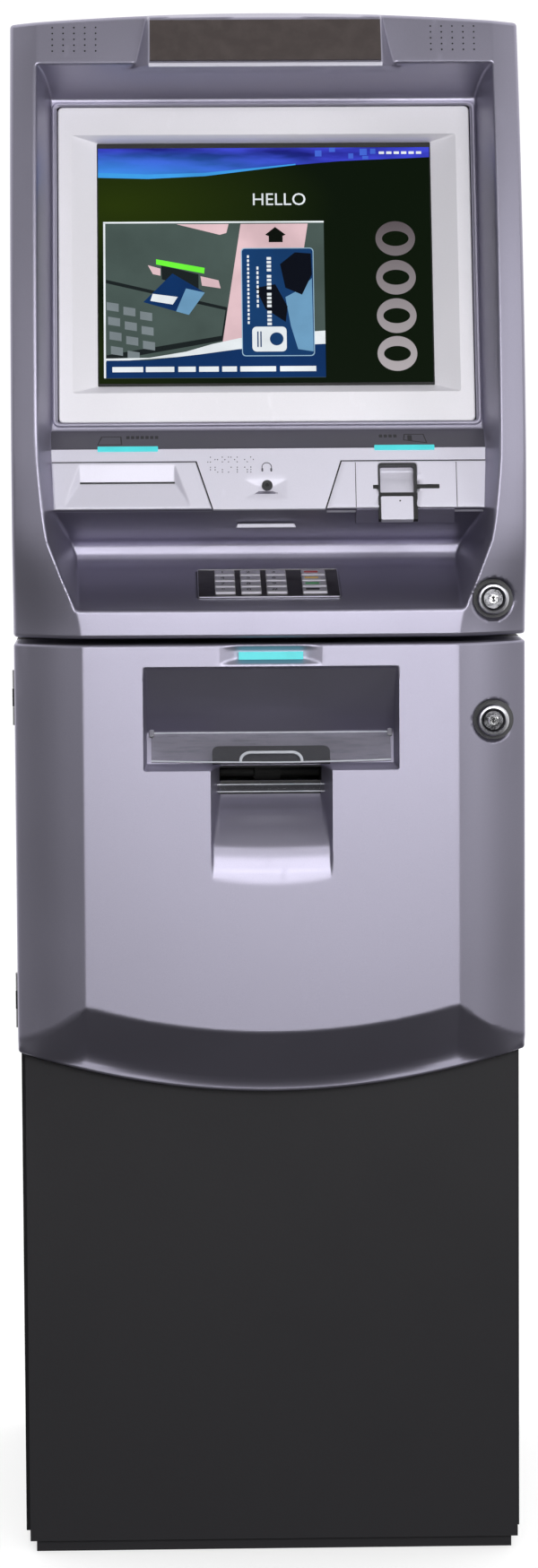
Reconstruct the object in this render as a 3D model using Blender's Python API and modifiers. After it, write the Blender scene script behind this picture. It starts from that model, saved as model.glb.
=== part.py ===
"""Free-standing cash machine with a safe pedestal, a hinged lower fascia and a hinged upper fascia.

Units are metres, +Z is up and the front faces -Y. The origin is on the floor under the middle.
"""
import math

import bmesh
import bpy
from mathutils import Matrix, Vector

# Overall size
HALF_WIDTH = 0.230
FRONT_Y = -0.310
REAR_Y = 0.310
GAP = 0.0003

# Front surfaces: flat middle, sides that fall back, and an upper front that leans back in an arc
CREASE_X = 0.168
CREASE_WIDE_X = 0.206
CREASE_WIDE_Z = 0.975
CROWN = 0.004
SIDE_SETBACK = 0.045
ARC_RADIUS = 1.356
SHELL = 0.003
TOP_Z = 1.403
TOP_ARCH = 0.009
UPPER_BOTTOM_Z = 0.8435
LOWER_TOP_Z = 0.838
CHIN_CREASE_Z = 0.489
CHIN_CREASE_RISE = 0.023
CHIN_BOTTOM_Z = 0.428
CHIN_BOTTOM_RISE = 0.038
CHIN_Y = -0.258
UPPER_REAR_Y = -0.0955
LOWER_REAR_Y = -0.2045

# Safe and upper cabinet
PLINTH_TOP_Z = 0.0092
SAFE_HALF_WIDTH = 0.229
SAFE_FRONT_Y = -0.200
SAFE_BACK_Y = 0.300
SAFE_BOTTOM_Z = 0.0095
SAFE_TOP_Z = 0.838
SAFE_WALL = 0.008
DOOR_HALF_WIDTH = 0.2242
DOOR_FRONT_Y = -0.245
DOOR_REAR_Y = -0.203
DOOR_TOP_Z = 0.826
HEAD_FRONT_Y = -0.093
HEAD_BACK_Y = 0.3065
HEAD_BOTTOM_Z = SAFE_TOP_Z + GAP
HEAD_TOP_Z = 1.386
HEAD_WALL = 0.002

# Hinges, all on the left, with a vertical axis at (x, y)
LOWER_HINGE = (-0.2300, -0.2075)
UPPER_HINGE = (-0.2260, -0.0985)
LOWER_BARREL = 0.0036
UPPER_BARREL = 0.005
LOWER_HINGE_Z = (0.482, 0.760)
UPPER_HINGE_Z = (0.900, 1.280)
KNUCKLE = 0.0165
KNUCKLE_GAP = 0.0005

# Recess of the upper fascia: half width, and its side profile (y, z) from the front lip upwards
RECESS_HALF_WIDTH = 0.2005
SHELF_TILT = math.radians(14)
SHELF_FRONT = (-0.300, 0.869)
SHELF_BACK = (-0.164, 0.9029)
CONSOLE_LOW = (-0.285, 0.957)
CONSOLE_HIGH = (-0.262, 1.011)
SCREEN_CENTRE = (-0.187, 1.177)
SCREEN_TILT = math.radians(17)
RECESS_TOP_Z = 1.357
SIGN_LOW = (-0.2435, 1.3515)
SIGN_HIGH = (-0.2200, 1.3985)

# Cash pocket and chute of the lower fascia
POCKET_HALF_WIDTH = 0.1128
POCKET_TOP_Z = 0.817
POCKET_BOTTOM_Z = 0.7265
POCKET_BACK_Y = -0.2655
CHUTE_HALF_WIDTH = 0.0535
CHUTE_CREASE_Z = 0.6585
CHUTE_BOTTOM_Z = 0.6235
FLAP_AXIS = (-0.283, 0.757)
EXIT_Z = (0.7125, 0.7245)

# Locks and keypad
LOCK_X = 0.1998
UPPER_LOCK_Z = 0.876
LOWER_LOCK_Z = 0.767
LOCK_RING = 0.0135
LOCK_PLUG = 0.0085
KEY_PLATE = (0.1275, 0.086)
KEY_PLATE_Y = -0.2255
KEY_TRAVEL = 0.0025

SILVER = ((0.40, 0.39, 0.43, 1), 0.38, 0.55)
PALE = ((0.72, 0.71, 0.76, 1), 0.35, 0.4)
BLACK_STEEL = ((0.03, 0.03, 0.033, 1), 0.6, 0.1)
GREY_STEEL = ((0.32, 0.33, 0.34, 1), 0.45, 0.7)
BRIGHT_STEEL = ((0.65, 0.65, 0.66, 1), 0.25, 1.0)
DARK_PLASTIC = ((0.05, 0.05, 0.055, 1), 0.45, 0.0)
BROWN_PANEL = ((0.06, 0.05, 0.05, 1), 0.2, 0.0)
CYAN_LAMP = ((0.15, 0.85, 0.95, 1), 0.2, 0.0)
CLEAR = ((0.8, 0.85, 0.88, 0.4), 0.05, 0.0)
PAPER = ((0.85, 0.85, 0.83, 1), 0.8, 0.0)
RUBBER = ((0.04, 0.04, 0.04, 1), 0.8, 0.0)


# ---------------------------------------------------------------- scene and materials
def clear_scene():
    for thing in list(bpy.data.objects):
        bpy.data.objects.remove(thing, do_unlink=True)


def new_collection(name):
    collection = bpy.data.collections.new(name)
    bpy.context.scene.collection.children.link(collection)
    return collection


clear_scene()
PARTS = new_collection("atm_machine")
CUTTERS = new_collection("cutters")
CUTTERS.hide_render = True


def paint(name, finish):
    colour, roughness, metallic = finish
    material = bpy.data.materials.new(name)
    material.use_nodes = True
    shader = material.node_tree.nodes["Principled BSDF"]
    shader.inputs["Base Color"].default_value = colour
    shader.inputs["Roughness"].default_value = roughness
    shader.inputs["Metallic"].default_value = metallic
    material.diffuse_color = colour
    return material


# ---------------------------------------------------------------- shapes
def axes(x_axis, y_axis, z_axis, origin=(0, 0, 0)):
    """A placement whose local X, Y and Z point along the three given directions."""
    turn = Matrix((x_axis, y_axis, z_axis)).transposed().to_4x4()
    return Matrix.Translation(origin) @ turn


ALONG_X = axes((0, 1, 0), (0, 0, 1), (1, 0, 0))
ALONG_Y = axes((1, 0, 0), (0, 0, 1), (0, -1, 0))
ALONG_Z = Matrix.Identity(4)


def leaning(centre, tilt):
    """Local X is +X, local Y runs up a face that leans back by tilt, local Z points out of it."""
    up = Vector((0, math.sin(tilt), math.cos(tilt)))
    out = Vector((0, -math.cos(tilt), math.sin(tilt)))
    return axes((1, 0, 0), up, out, (0, centre[0], centre[1]))


SCREEN = leaning(SCREEN_CENTRE, SCREEN_TILT)
CONSOLE_TILT = math.atan2(CONSOLE_HIGH[0] - CONSOLE_LOW[0], CONSOLE_HIGH[1] - CONSOLE_LOW[1])
CONSOLE = leaning(((CONSOLE_LOW[0] + CONSOLE_HIGH[0]) / 2, (CONSOLE_LOW[1] + CONSOLE_HIGH[1]) / 2),
                  CONSOLE_TILT)
SIGN = leaning(((SIGN_LOW[0] + SIGN_HIGH[0]) / 2, (SIGN_LOW[1] + SIGN_HIGH[1]) / 2),
               math.atan2(SIGN_HIGH[0] - SIGN_LOW[0], SIGN_HIGH[1] - SIGN_LOW[1]))
SHELF_Z = SHELF_FRONT[1] + (KEY_PLATE_Y - SHELF_FRONT[0]) * math.tan(SHELF_TILT)
SHELF = leaning((KEY_PLATE_Y, SHELF_Z), math.radians(90) - SHELF_TILT)


def box_mesh(low, high, place=ALONG_Z):
    shape = bmesh.new()
    size = Vector(high) - Vector(low)
    middle = (Vector(high) + Vector(low)) / 2
    matrix = place @ Matrix.Translation(middle) @ Matrix.Diagonal((*size, 1))
    bmesh.ops.create_cube(shape, size=1, matrix=matrix)
    return shape


def rod_mesh(place, start, end, radius, sides=24, end_radius=None):
    """A cylinder or cone along the placement's local Z, from start to end."""
    shape = bmesh.new()
    bmesh.ops.create_cone(
        shape, cap_ends=True, segments=sides, radius1=radius,
        radius2=radius if end_radius is None else end_radius, depth=end - start,
        matrix=place @ Matrix.Translation((0, 0, (start + end) / 2)))
    return shape


def outline_mesh(outlines, low, high, place):
    """Flat outlines, the first one solid and the others holes, extruded along local Z."""
    curve = bpy.data.curves.new("outline", "CURVE")
    curve.dimensions = "2D"
    curve.fill_mode = "BOTH"
    curve.extrude = (high - low) / 2
    for points in outlines:
        spline = curve.splines.new("POLY")
        spline.points.add(len(points) - 1)
        for point, (x, y) in zip(spline.points, points):
            point.co = (x, y, 0, 1)
        spline.use_cyclic_u = True
    holder = bpy.data.objects.new("outline", curve)
    CUTTERS.objects.link(holder)
    evaluated = holder.evaluated_get(bpy.context.evaluated_depsgraph_get())
    mesh = bpy.data.meshes.new_from_object(evaluated)
    shape = bmesh.new()
    shape.from_mesh(mesh)
    bmesh.ops.remove_doubles(shape, verts=shape.verts, dist=0.000001)
    shape.transform(place @ Matrix.Translation((0, 0, (low + high) / 2)))
    bpy.data.objects.remove(holder)
    bpy.data.curves.remove(curve)
    bpy.data.meshes.remove(mesh)
    return shape


def rounded_rectangle(low, high, radius, steps=4):
    points = []
    corners = ((high[0] - radius, high[1] - radius), (low[0] + radius, high[1] - radius),
               (low[0] + radius, low[1] + radius), (high[0] - radius, low[1] + radius))
    for quarter, (x, y) in enumerate(corners):
        for step in range(steps + 1):
            angle = math.radians(90) * (quarter + step / steps)
            points.append((x + radius * math.cos(angle), y + radius * math.sin(angle)))
    return points


def add_object(name, shape, collection, origin):
    bmesh.ops.recalc_face_normals(shape, faces=shape.faces)
    shape.transform(Matrix.Translation(-Vector(origin)))
    mesh = bpy.data.meshes.new(name)
    shape.to_mesh(mesh)
    shape.free()
    thing = bpy.data.objects.new(name, mesh)
    thing.location = origin
    collection.objects.link(thing)
    return thing


def part(name, shape, finish, origin=(0, 0, 0), smooth=False):
    thing = add_object(name, shape, PARTS, origin)
    thing.data.materials.append(paint(name, finish))
    if smooth:
        thing.data.shade_smooth()
        thing.data.set_sharp_from_angle(angle=math.radians(35))
    return thing


def boolean(thing, shape, operation):
    count = len(thing.modifiers)
    cutter = add_object(f"{thing.name}_{operation.lower()}_{count}", shape, CUTTERS, (0, 0, 0))
    cutter.hide_render = True
    cutter.display_type = "WIRE"
    modifier = thing.modifiers.new(f"{operation.lower()}_{count}", "BOOLEAN")
    modifier.operation = operation
    modifier.solver = "EXACT"
    modifier.object = cutter
    return cutter


def cut(thing, *shapes):
    for shape in shapes:
        boolean(thing, shape, "DIFFERENCE")


def join(thing, *shapes):
    for shape in shapes:
        boolean(thing, shape, "UNION")


# ---------------------------------------------------------------- fascia surfaces
def plan_setback(x, crease=CREASE_X):
    """How far the front lies behind its middle at x, where its flat part ends at crease."""
    x = abs(x)
    if x <= crease:
        return CROWN * (x / crease) ** 2
    across = (x - crease) / (HALF_WIDTH - CREASE_X)
    return CROWN + (SIDE_SETBACK - CROWN) * (0.55 * across + 0.45 * across ** 2)


def upper_crease(z):
    """The upper front's flat part widens upwards until it meets the recess's edge."""
    share = min(1, (z - UPPER_BOTTOM_Z) / (CREASE_WIDE_Z - UPPER_BOTTOM_Z))
    return CREASE_X + (CREASE_WIDE_X - CREASE_X) * share


def upper_front(x, z):
    rise = z - UPPER_BOTTOM_Z
    lean = ARC_RADIUS - math.sqrt(ARC_RADIUS ** 2 - rise ** 2)
    return FRONT_Y + lean + plan_setback(x, upper_crease(z))


def fascia_top(x):
    return TOP_Z - TOP_ARCH * (x / HALF_WIDTH) ** 2


def chin_bottom(x):
    return CHIN_BOTTOM_Z + CHIN_BOTTOM_RISE * (x / HALF_WIDTH) ** 2


def chin_crease(x):
    crease = CHIN_CREASE_Z + CHIN_CREASE_RISE * (x / CREASE_X) ** 2
    side = max(0, (abs(x) - CREASE_X) / (HALF_WIDTH - CREASE_X))
    at_edge = chin_bottom(x) + 0.012
    return (1 - side) * min(crease, CHIN_CREASE_Z + CHIN_CREASE_RISE) + side * at_edge


def front_block(columns, rows, point, rear_y):
    """A closed solid between a lofted front and a flat rear; point(column, row) is on the front."""
    shape = bmesh.new()
    front = [[shape.verts.new(point(column, row)) for row in rows] for column in columns]
    rear = [[shape.verts.new((v.co.x, rear_y, v.co.z)) for v in line] for line in front]
    for grid in (front, rear):
        for left, right in zip(grid, grid[1:]):
            for low in range(len(rows) - 1):
                shape.faces.new((left[low], right[low], right[low + 1], left[low + 1]))
    for end in (0, -1):
        for low in range(len(rows) - 1):
            shape.faces.new((front[end][low], front[end][low + 1], rear[end][low + 1], rear[end][low]))
        for left, right, left_rear, right_rear in zip(front, front[1:], rear, rear[1:]):
            shape.faces.new((left[end], right[end], right_rear[end], left_rear[end]))
    return shape


def fascia_columns(inset):
    half = HALF_WIDTH - inset
    outer = [half, half * 0.95, CREASE_WIDE_X - 0.002, 0.187, CREASE_X, 0.112, 0.056]
    return [-x for x in outer] + [0] + outer[::-1]


def upper_block(inset, rear_y):
    def point(x, share):
        low, high = UPPER_BOTTOM_Z + inset, fascia_top(x) - inset
        z = low + (high - low) * share
        return x, upper_front(x, z) + inset, z
    return front_block(fascia_columns(inset), [row / 8 for row in range(9)], point, rear_y)


def lower_block(inset, rear_y):
    def point(x, row):
        bottom, crease = chin_bottom(x) + inset, chin_crease(x) + inset
        front = FRONT_Y + plan_setback(x) + inset
        chin = max(front, min(CHIN_Y + inset, front + (crease - bottom) * 0.95))
        if row == 0:
            return x, chin, bottom
        return x, front, crease + (LOWER_TOP_Z - inset - crease) * (row - 1)
    return front_block(fascia_columns(inset), [0, 1, 2], point, rear_y)


def grown(points, amount):
    """A closed outline moved outwards by amount, counter-clockwise or clockwise alike."""
    count = len(points)
    area = sum(points[i][0] * points[(i + 1) % count][1] - points[(i + 1) % count][0] * points[i][1]
               for i in range(count))
    side = 1 if area > 0 else -1
    result = []
    for index, here in enumerate(points):
        before = Vector(here) - Vector(points[index - 1])
        after = Vector(points[(index + 1) % count]) - Vector(here)
        out_before = Vector((before.y, -before.x)).normalized() * side
        out_after = Vector((after.y, -after.x)).normalized() * side
        mitre = (out_before + out_after).normalized()
        moved = Vector(here) + mitre * (amount / mitre.dot(out_before))
        result.append(tuple(moved))
    return result


def screen_line(z):
    return SCREEN_CENTRE[0] + (z - SCREEN_CENTRE[1]) * math.tan(SCREEN_TILT)


RECESS_PROFILE = [
    (-0.45, SHELF_FRONT[1]), SHELF_FRONT, SHELF_BACK, (-0.160, 0.9145), (-0.175, 0.925),
    CONSOLE_LOW, CONSOLE_HIGH,
    (screen_line(1.027), 1.027), (screen_line(1.328), 1.328), (-0.150, 1.345), (-0.190, RECESS_TOP_Z),
    (-0.45, RECESS_TOP_Z)]
RECESS_OUTLINE = [
    (0.1715, 0.80), (0.1715, 0.869), (0.180, 0.900), (0.194, 0.945), (RECESS_HALF_WIDTH, 0.975),
    (RECESS_HALF_WIDTH, 1.42), (-RECESS_HALF_WIDTH, 1.42), (-RECESS_HALF_WIDTH, 0.975), (-0.194, 0.945),
    (-0.180, 0.900), (-0.1715, 0.869), (-0.1715, 0.80)]
POCKET_PROFILE = [
    (-0.45, POCKET_BOTTOM_Z), (POCKET_BACK_Y, POCKET_BOTTOM_Z), (POCKET_BACK_Y, FLAP_AXIS[1]),
    (-0.305, POCKET_TOP_Z), (-0.45, POCKET_TOP_Z)]
CHUTE_PROFILE = [
    (-0.45, CHUTE_BOTTOM_Z - 0.113), (POCKET_BACK_Y - 0.0025, CHUTE_CREASE_Z), (POCKET_BACK_Y, 0.700),
    (POCKET_BACK_Y, POCKET_BOTTOM_Z + 0.002), (-0.45, POCKET_BOTTOM_Z + 0.002)]


def recess_solid(thickness):
    """The open space of the upper recess, grown by the wall's thickness."""
    profile = outline_mesh([grown(RECESS_PROFILE, thickness)], -0.25, 0.25, ALONG_X)
    solid = add_object(f"recess_{thickness}", profile, CUTTERS, (0, 0, 0))
    solid.hide_render = True
    solid.display_type = "WIRE"
    outline = outline_mesh([grown(RECESS_OUTLINE, thickness)], -0.1, 0.6, ALONG_Y)
    boolean(solid, outline, "INTERSECT")
    return solid


def cut_with(thing, cutter):
    modifier = thing.modifiers.new(f"difference_{len(thing.modifiers)}", "BOOLEAN")
    modifier.operation = "DIFFERENCE"
    modifier.solver = "EXACT"
    modifier.object = cutter


def hidden(name, shape):
    thing = add_object(name, shape, CUTTERS, (0, 0, 0))
    thing.hide_render = True
    thing.display_type = "WIRE"
    return thing


# ---------------------------------------------------------------- hinges
def hinge_place(axis):
    return Matrix.Translation((*axis, 0))


def knuckle_span(start, index):
    """Height range of one knuckle in a hinge's stack, counted from the bottom."""
    low = start + index * (KNUCKLE + KNUCKLE_GAP)
    return low, low + KNUCKLE


def add_knuckle(thing, axis, start, index, barrel, count):
    """Adds this piece's own bored knuckle, and clears the space of the others in the stack."""
    place = hinge_place(axis)
    room = barrel + 0.0014
    for other in range(count):
        low, high = knuckle_span(start, other)
        if other != index:
            cut(thing, box_mesh((-room, -room, low - KNUCKLE_GAP / 2),
                                (room, 0.009, high + KNUCKLE_GAP / 2), place))
    low, high = knuckle_span(start, index)
    join(thing, rod_mesh(place, low, high, barrel))
    cut(thing, rod_mesh(place, low - 0.001, high + 0.001, barrel / 2 + 0.0001))


def hinge_pin(name, axis, start, barrel, count, leaf_x, leaf_back):
    """Lowest knuckle and pin of a hinge, on a leaf that runs back to the cabinet."""
    place = hinge_place(axis)
    low, high = knuckle_span(start, 0)
    top = knuckle_span(start, count - 1)[1]
    pin = part(name, rod_mesh(place, low, high, barrel), GREY_STEEL, (*axis, low), smooth=True)
    join(pin, rod_mesh(place, low + 0.002, top, barrel / 2),
         box_mesh((leaf_x[0], axis[1], low), (leaf_x[1], leaf_back, high)))


# ---------------------------------------------------------------- pedestal
def make_plinth():
    half = 0.2185
    ring = part("plinth", box_mesh((-half, -0.240, 0), (half, 0.295, PLINTH_TOP_Z)), BLACK_STEEL)
    cut(ring, box_mesh((-half + 0.03, -0.210, -0.01), (half - 0.03, 0.265, 0.02)))


def make_safe():
    body = part("safe_body", box_mesh((-SAFE_HALF_WIDTH, SAFE_FRONT_Y, SAFE_BOTTOM_Z),
                                      (SAFE_HALF_WIDTH, SAFE_BACK_Y, SAFE_TOP_Z)), BLACK_STEEL)
    inner = SAFE_HALF_WIDTH - SAFE_WALL
    inside = (inner, SAFE_BACK_Y - SAFE_WALL, SAFE_TOP_Z - SAFE_WALL)
    bottom = SAFE_BOTTOM_Z + SAFE_WALL
    strike = 0.207
    cut(body,
        box_mesh((-inner, SAFE_FRONT_Y + 0.006, bottom), inside),
        box_mesh((-inner, SAFE_FRONT_Y - 0.02, bottom), (strike, SAFE_FRONT_Y + 0.02, inside[2])))
    half = inner - GAP
    shelf = part("safe_shelf", box_mesh((-half, -0.170, 0.270), (half, 0.270, 0.275)), GREY_STEEL)
    cut(shelf, box_mesh((0.15, 0.20, 0.2), (0.19, 0.25, 0.3)))


def make_safe_door():
    door = part("safe_door", box_mesh((-DOOR_HALF_WIDTH, DOOR_FRONT_Y, 0.0105),
                                      (DOOR_HALF_WIDTH, DOOR_REAR_Y, DOOR_TOP_Z)), BLACK_STEEL,
                (*LOWER_HINGE, 0))
    x, y = LOWER_HINGE
    for start in LOWER_HINGE_Z:
        low, high = knuckle_span(start, 1)
        join(door, box_mesh((x, y - LOWER_BARREL, low), (-DOOR_HALF_WIDTH + 0.002, y, high)))
        add_knuckle(door, LOWER_HINGE, start, 1, LOWER_BARREL, 3)
    cut(door, box_mesh((-0.046, -0.3, 0.708), (0.046, -0.1, 0.729)))


def make_door_lock():
    """Combination dial, handle and the bolt bar that the handle slides."""
    place = ALONG_Y @ Matrix.Translation((-0.060, 0.560, 0))
    front = -DOOR_FRONT_Y
    dial = part("combination_dial", rod_mesh(place, front + GAP, front + 0.008, 0.034, 32), DARK_PLASTIC,
                (-0.060, DOOR_FRONT_Y, 0.560), smooth=True)
    join(dial, rod_mesh(place, front + 0.006, front + 0.026, 0.024, 24, 0.020))
    cut(dial, box_mesh((-0.0605, -0.275, 0.578), (-0.0595, -0.268, 0.60)))
    place = ALONG_Y @ Matrix.Translation((0.070, 0.560, 0))
    handle = part("safe_handle", rod_mesh(place, front + GAP, front + 0.030, 0.014), BRIGHT_STEEL,
                  (0.070, DOOR_FRONT_Y, 0.560), smooth=True)
    join(handle, box_mesh((0.060, -0.274, 0.560), (0.080, -0.262, 0.640)))
    bar = part("locking_bolt", box_mesh((0.150, -0.2022, 0.120), (0.175, -0.182, 0.690)), BRIGHT_STEEL)
    for height in (0.160, 0.405, 0.650):
        bolt = axes((0, 1, 0), (0, 0, 1), (1, 0, 0), (0, -0.1855, height))
        join(bar, rod_mesh(bolt, 0.160, 0.203, 0.0055, 16))


def make_dispenser():
    frame = part("dispenser_frame", box_mesh((-0.105, -0.160, 0.2753), (0.105, 0.200, 0.775)), GREY_STEEL)
    cut(frame,
        box_mesh((-0.102, -0.20, 0.2783), (0.102, 0.24, 0.80)),
        box_mesh((-0.20, -0.08, 0.62), (0.20, 0.15, 0.74)))
    for height in (0.7093, 0.7277):
        axle = axes((0, 1, 0), (0, 0, 1), (1, 0, 0), (0, -0.140, height))
        cut(frame, rod_mesh(axle, -0.2, 0.2, 0.0044))
    join(frame, box_mesh((-0.104, 0.175, 0.60), (0.104, 0.178, 0.70)))
    cassette = part("cash_cassette", box_mesh((-0.095, -0.155, 0.2786), (0.095, 0.165, 0.400)), DARK_PLASTIC)
    cut(cassette, box_mesh((-0.050, -0.20, 0.345), (0.050, -0.125, 0.385)))
    join(cassette, box_mesh((-0.055, -0.152, 0.361), (0.055, -0.146, 0.369)))


def make_note_roller(name, height):
    """Shaft with three rubber tyres, turned from one profile."""
    shaft, tyre, half_tyre = 0.004, 0.009, 0.012
    steps = [(-0.1045, shaft)]
    for centre in (-0.06, 0.0, 0.06):
        steps += [(centre - half_tyre, shaft), (centre - half_tyre, tyre)]
        steps += [(centre + half_tyre, tyre), (centre + half_tyre, shaft)]
    steps += [(0.1045, shaft)]
    turned(name, (0, -0.140, height), steps, RUBBER, 20)


def turned(name, origin, steps, finish, sides):
    """A shaft along X, turned from (x, radius) steps with a Screw modifier."""
    shape = bmesh.new()
    profile = [(steps[0][0], 0)] + list(steps) + [(steps[-1][0], 0)]
    line = [shape.verts.new((radius, 0, -x)) for x, radius in profile]
    for start, end in zip(line, line[1:]):
        shape.edges.new((start, end))
    mesh = bpy.data.meshes.new(name)
    shape.to_mesh(mesh)
    shape.free()
    thing = bpy.data.objects.new(name, mesh)
    thing.location = origin
    thing.rotation_euler = (0, math.radians(-90), 0)
    PARTS.objects.link(thing)
    thing.data.materials.append(paint(name, finish))
    screw = thing.modifiers.new("turn", "SCREW")
    screw.steps = sides
    screw.render_steps = sides
    screw.use_merge_vertices = True
    screw.merge_threshold = 0.00001
    screw.use_smooth_shade = False
    return thing


# ---------------------------------------------------------------- upper cabinet
def make_head():
    outer = rounded_rectangle((-SAFE_HALF_WIDTH, HEAD_BOTTOM_Z), (SAFE_HALF_WIDTH, HEAD_TOP_Z), 0.008, 3)
    inner = rounded_rectangle((-SAFE_HALF_WIDTH + HEAD_WALL, HEAD_BOTTOM_Z + HEAD_WALL),
                              (SAFE_HALF_WIDTH - HEAD_WALL, HEAD_TOP_Z - HEAD_WALL), 0.006, 3)
    tube = outline_mesh([outer, inner], -HEAD_BACK_Y, -HEAD_FRONT_Y, ALONG_Y)
    head = part("head_cabinet", tube, BLACK_STEEL)
    cut(head, box_mesh((-0.05, 0.18, 0.80), (0.05, 0.26, 0.86)))
    cover_front = HEAD_BACK_Y + GAP
    cover = part("rear_cover", box_mesh((-0.2285, cover_front, 0.842), (0.2285, REAR_Y, 1.384)), BLACK_STEEL)
    heights = [1.20 + 0.014 * row for row in range(8)]
    slots = [box_mesh((-0.10, 0.29, z), (0.10, 0.32, z + 0.004)) for z in heights]
    cut(cover, *slots)
    flange_low, flange_high = (0.122, 0.874), (0.168, 0.911)
    cut(cover, box_mesh((flange_low[0] - GAP, 0.29, flange_low[1] - GAP),
                        (flange_high[0] + GAP, 0.32, flange_high[1] + GAP)))
    inlet = part("power_inlet", box_mesh((0.130, 0.270, 0.880), (0.160, 0.309, 0.905)), DARK_PLASTIC)
    join(inlet, box_mesh((flange_low[0], cover_front, flange_low[1]), (flange_high[0], 0.3094, flange_high[1])))
    cut(inlet, box_mesh((0.133, 0.290, 0.883), (0.157, 0.32, 0.902)))
    for x, z in ((0.139, 0.890), (0.145, 0.896), (0.151, 0.890)):
        join(inlet, box_mesh((x - 0.001, 0.285, z - 0.002), (x + 0.001, 0.305, z + 0.002)))
    floor = HEAD_BOTTOM_Z + HEAD_WALL + GAP
    box = part("computer_unit", box_mesh((-0.15, 0.060, floor), (0.11, 0.250, 0.98)), GREY_STEEL)
    cut(box, *[box_mesh((-0.09 + 0.02 * n, 0.02, 0.87), (-0.084 + 0.02 * n, 0.065, 0.95)) for n in range(6)])


def make_hinge_pins():
    safe_face = SAFE_FRONT_Y - GAP
    head_overlap = UPPER_HINGE[1] + 0.034
    for word, low, high in zip(("bottom", "top"), LOWER_HINGE_Z, UPPER_HINGE_Z):
        hinge_pin(f"lower_hinge_pin_{word}", LOWER_HINGE, low, LOWER_BARREL, 3, (-0.2295, -0.2265), safe_face)
        hinge_pin(f"upper_hinge_pin_{word}", UPPER_HINGE, high, UPPER_BARREL, 2, (-0.2267, -0.2227),
                  head_overlap)


# ---------------------------------------------------------------- lower fascia
def make_lower_fascia():
    shell = part("lower_fascia", lower_block(0, LOWER_REAR_Y), SILVER, (*LOWER_HINGE, 0))
    hollow = hidden("lower_hollow", lower_block(SHELL, -0.10))
    half_pocket, half_chute = POCKET_HALF_WIDTH + SHELL, CHUTE_HALF_WIDTH + SHELL
    pocket = outline_mesh([grown(POCKET_PROFILE, SHELL)], -half_pocket, half_pocket, ALONG_X)
    chute = outline_mesh([grown(CHUTE_PROFILE, SHELL)], -half_chute, half_chute, ALONG_X)
    cut(hollow, pocket, chute)
    cut_with(shell, hollow)
    door_room = box_mesh((-0.2265, DOOR_FRONT_Y - 0.0025, 0.30), (0.2265, -0.1, DOOR_TOP_Z + 0.004))
    cut(shell, door_room,
        outline_mesh([POCKET_PROFILE], -POCKET_HALF_WIDTH, POCKET_HALF_WIDTH, ALONG_X),
        outline_mesh([CHUTE_PROFILE], -CHUTE_HALF_WIDTH, CHUTE_HALF_WIDTH, ALONG_X),
        box_mesh((-0.046, -0.28, EXIT_Z[0]), (0.046, -0.22, EXIT_Z[1])),
        box_mesh((-0.029, -0.33, 0.8242), (0.029, -0.30, 0.8316)),
        rod_mesh(lock_place(LOWER_LOCK_Z), 0.2, 0.35, LOCK_RING + GAP))
    for start in LOWER_HINGE_Z:
        add_knuckle(shell, LOWER_HINGE, start, 2, LOWER_BARREL, 3)


def lock_place(z):
    return ALONG_Y @ Matrix.Translation((LOCK_X, z, 0))


def make_lock(name, z):
    """Ring pressed into the fascia, and a plug with a cam at its rear end."""
    place = lock_place(z)
    ring = part(f"{name}_ring", rod_mesh(place, 0.272, 0.2915, LOCK_RING, 32), BRIGHT_STEEL, smooth=True)
    cut(ring, rod_mesh(place, 0.25, 0.30, LOCK_PLUG + 0.0003, 32))
    plug = part(f"{name}_plug", rod_mesh(place, 0.262, 0.2905, LOCK_PLUG, 32), BRIGHT_STEEL,
                (LOCK_X, -0.262, z), smooth=True)
    cut(plug, box_mesh((LOCK_X - 0.0008, -0.30, z - 0.004), (LOCK_X + 0.0008, -0.285, z + 0.004)))
    join(plug, box_mesh((LOCK_X - 0.006, -0.2645, z - 0.0185), (LOCK_X + 0.006, -0.2615, z)))


def make_cash_parts():
    part("cash_lip", box_mesh((-0.0530, -0.2765, 0.7030), (0.0530, -0.2665, 0.7105)), CLEAR)
    part("cash_lamp", box_mesh((-0.0287, -0.3115, 0.8245), (0.0287, -0.3075, 0.8313)), CYAN_LAMP)
    y, z = FLAP_AXIS
    tip = (y - 0.0205, z - 0.0265)
    half = 0.1075
    notch = 0.026
    arch = [(notch * math.cos(math.radians(180 - a)), -0.0345 + 0.0135 * math.sin(math.radians(a)))
            for a in range(0, 181, 20)]
    outline = [(-half, 0), (-half, -0.0315), (-half + 0.004, -0.0345)] + arch
    outline += [(half - 0.004, -0.0345), (half, -0.0315), (half, 0)]
    lean = math.atan2(y - tip[0], z - tip[1])
    place = leaning((y, z), lean)
    flap = part("cash_flap", outline_mesh([outline], -0.001, 0.001, place), CLEAR, (0, y, z))
    axle = axes((0, 1, 0), (0, 0, 1), (1, 0, 0), (0, y, z))
    join(flap, rod_mesh(axle, -POCKET_HALF_WIDTH + 0.0005, POCKET_HALF_WIDTH - 0.0005, 0.0025, 16))


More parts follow.
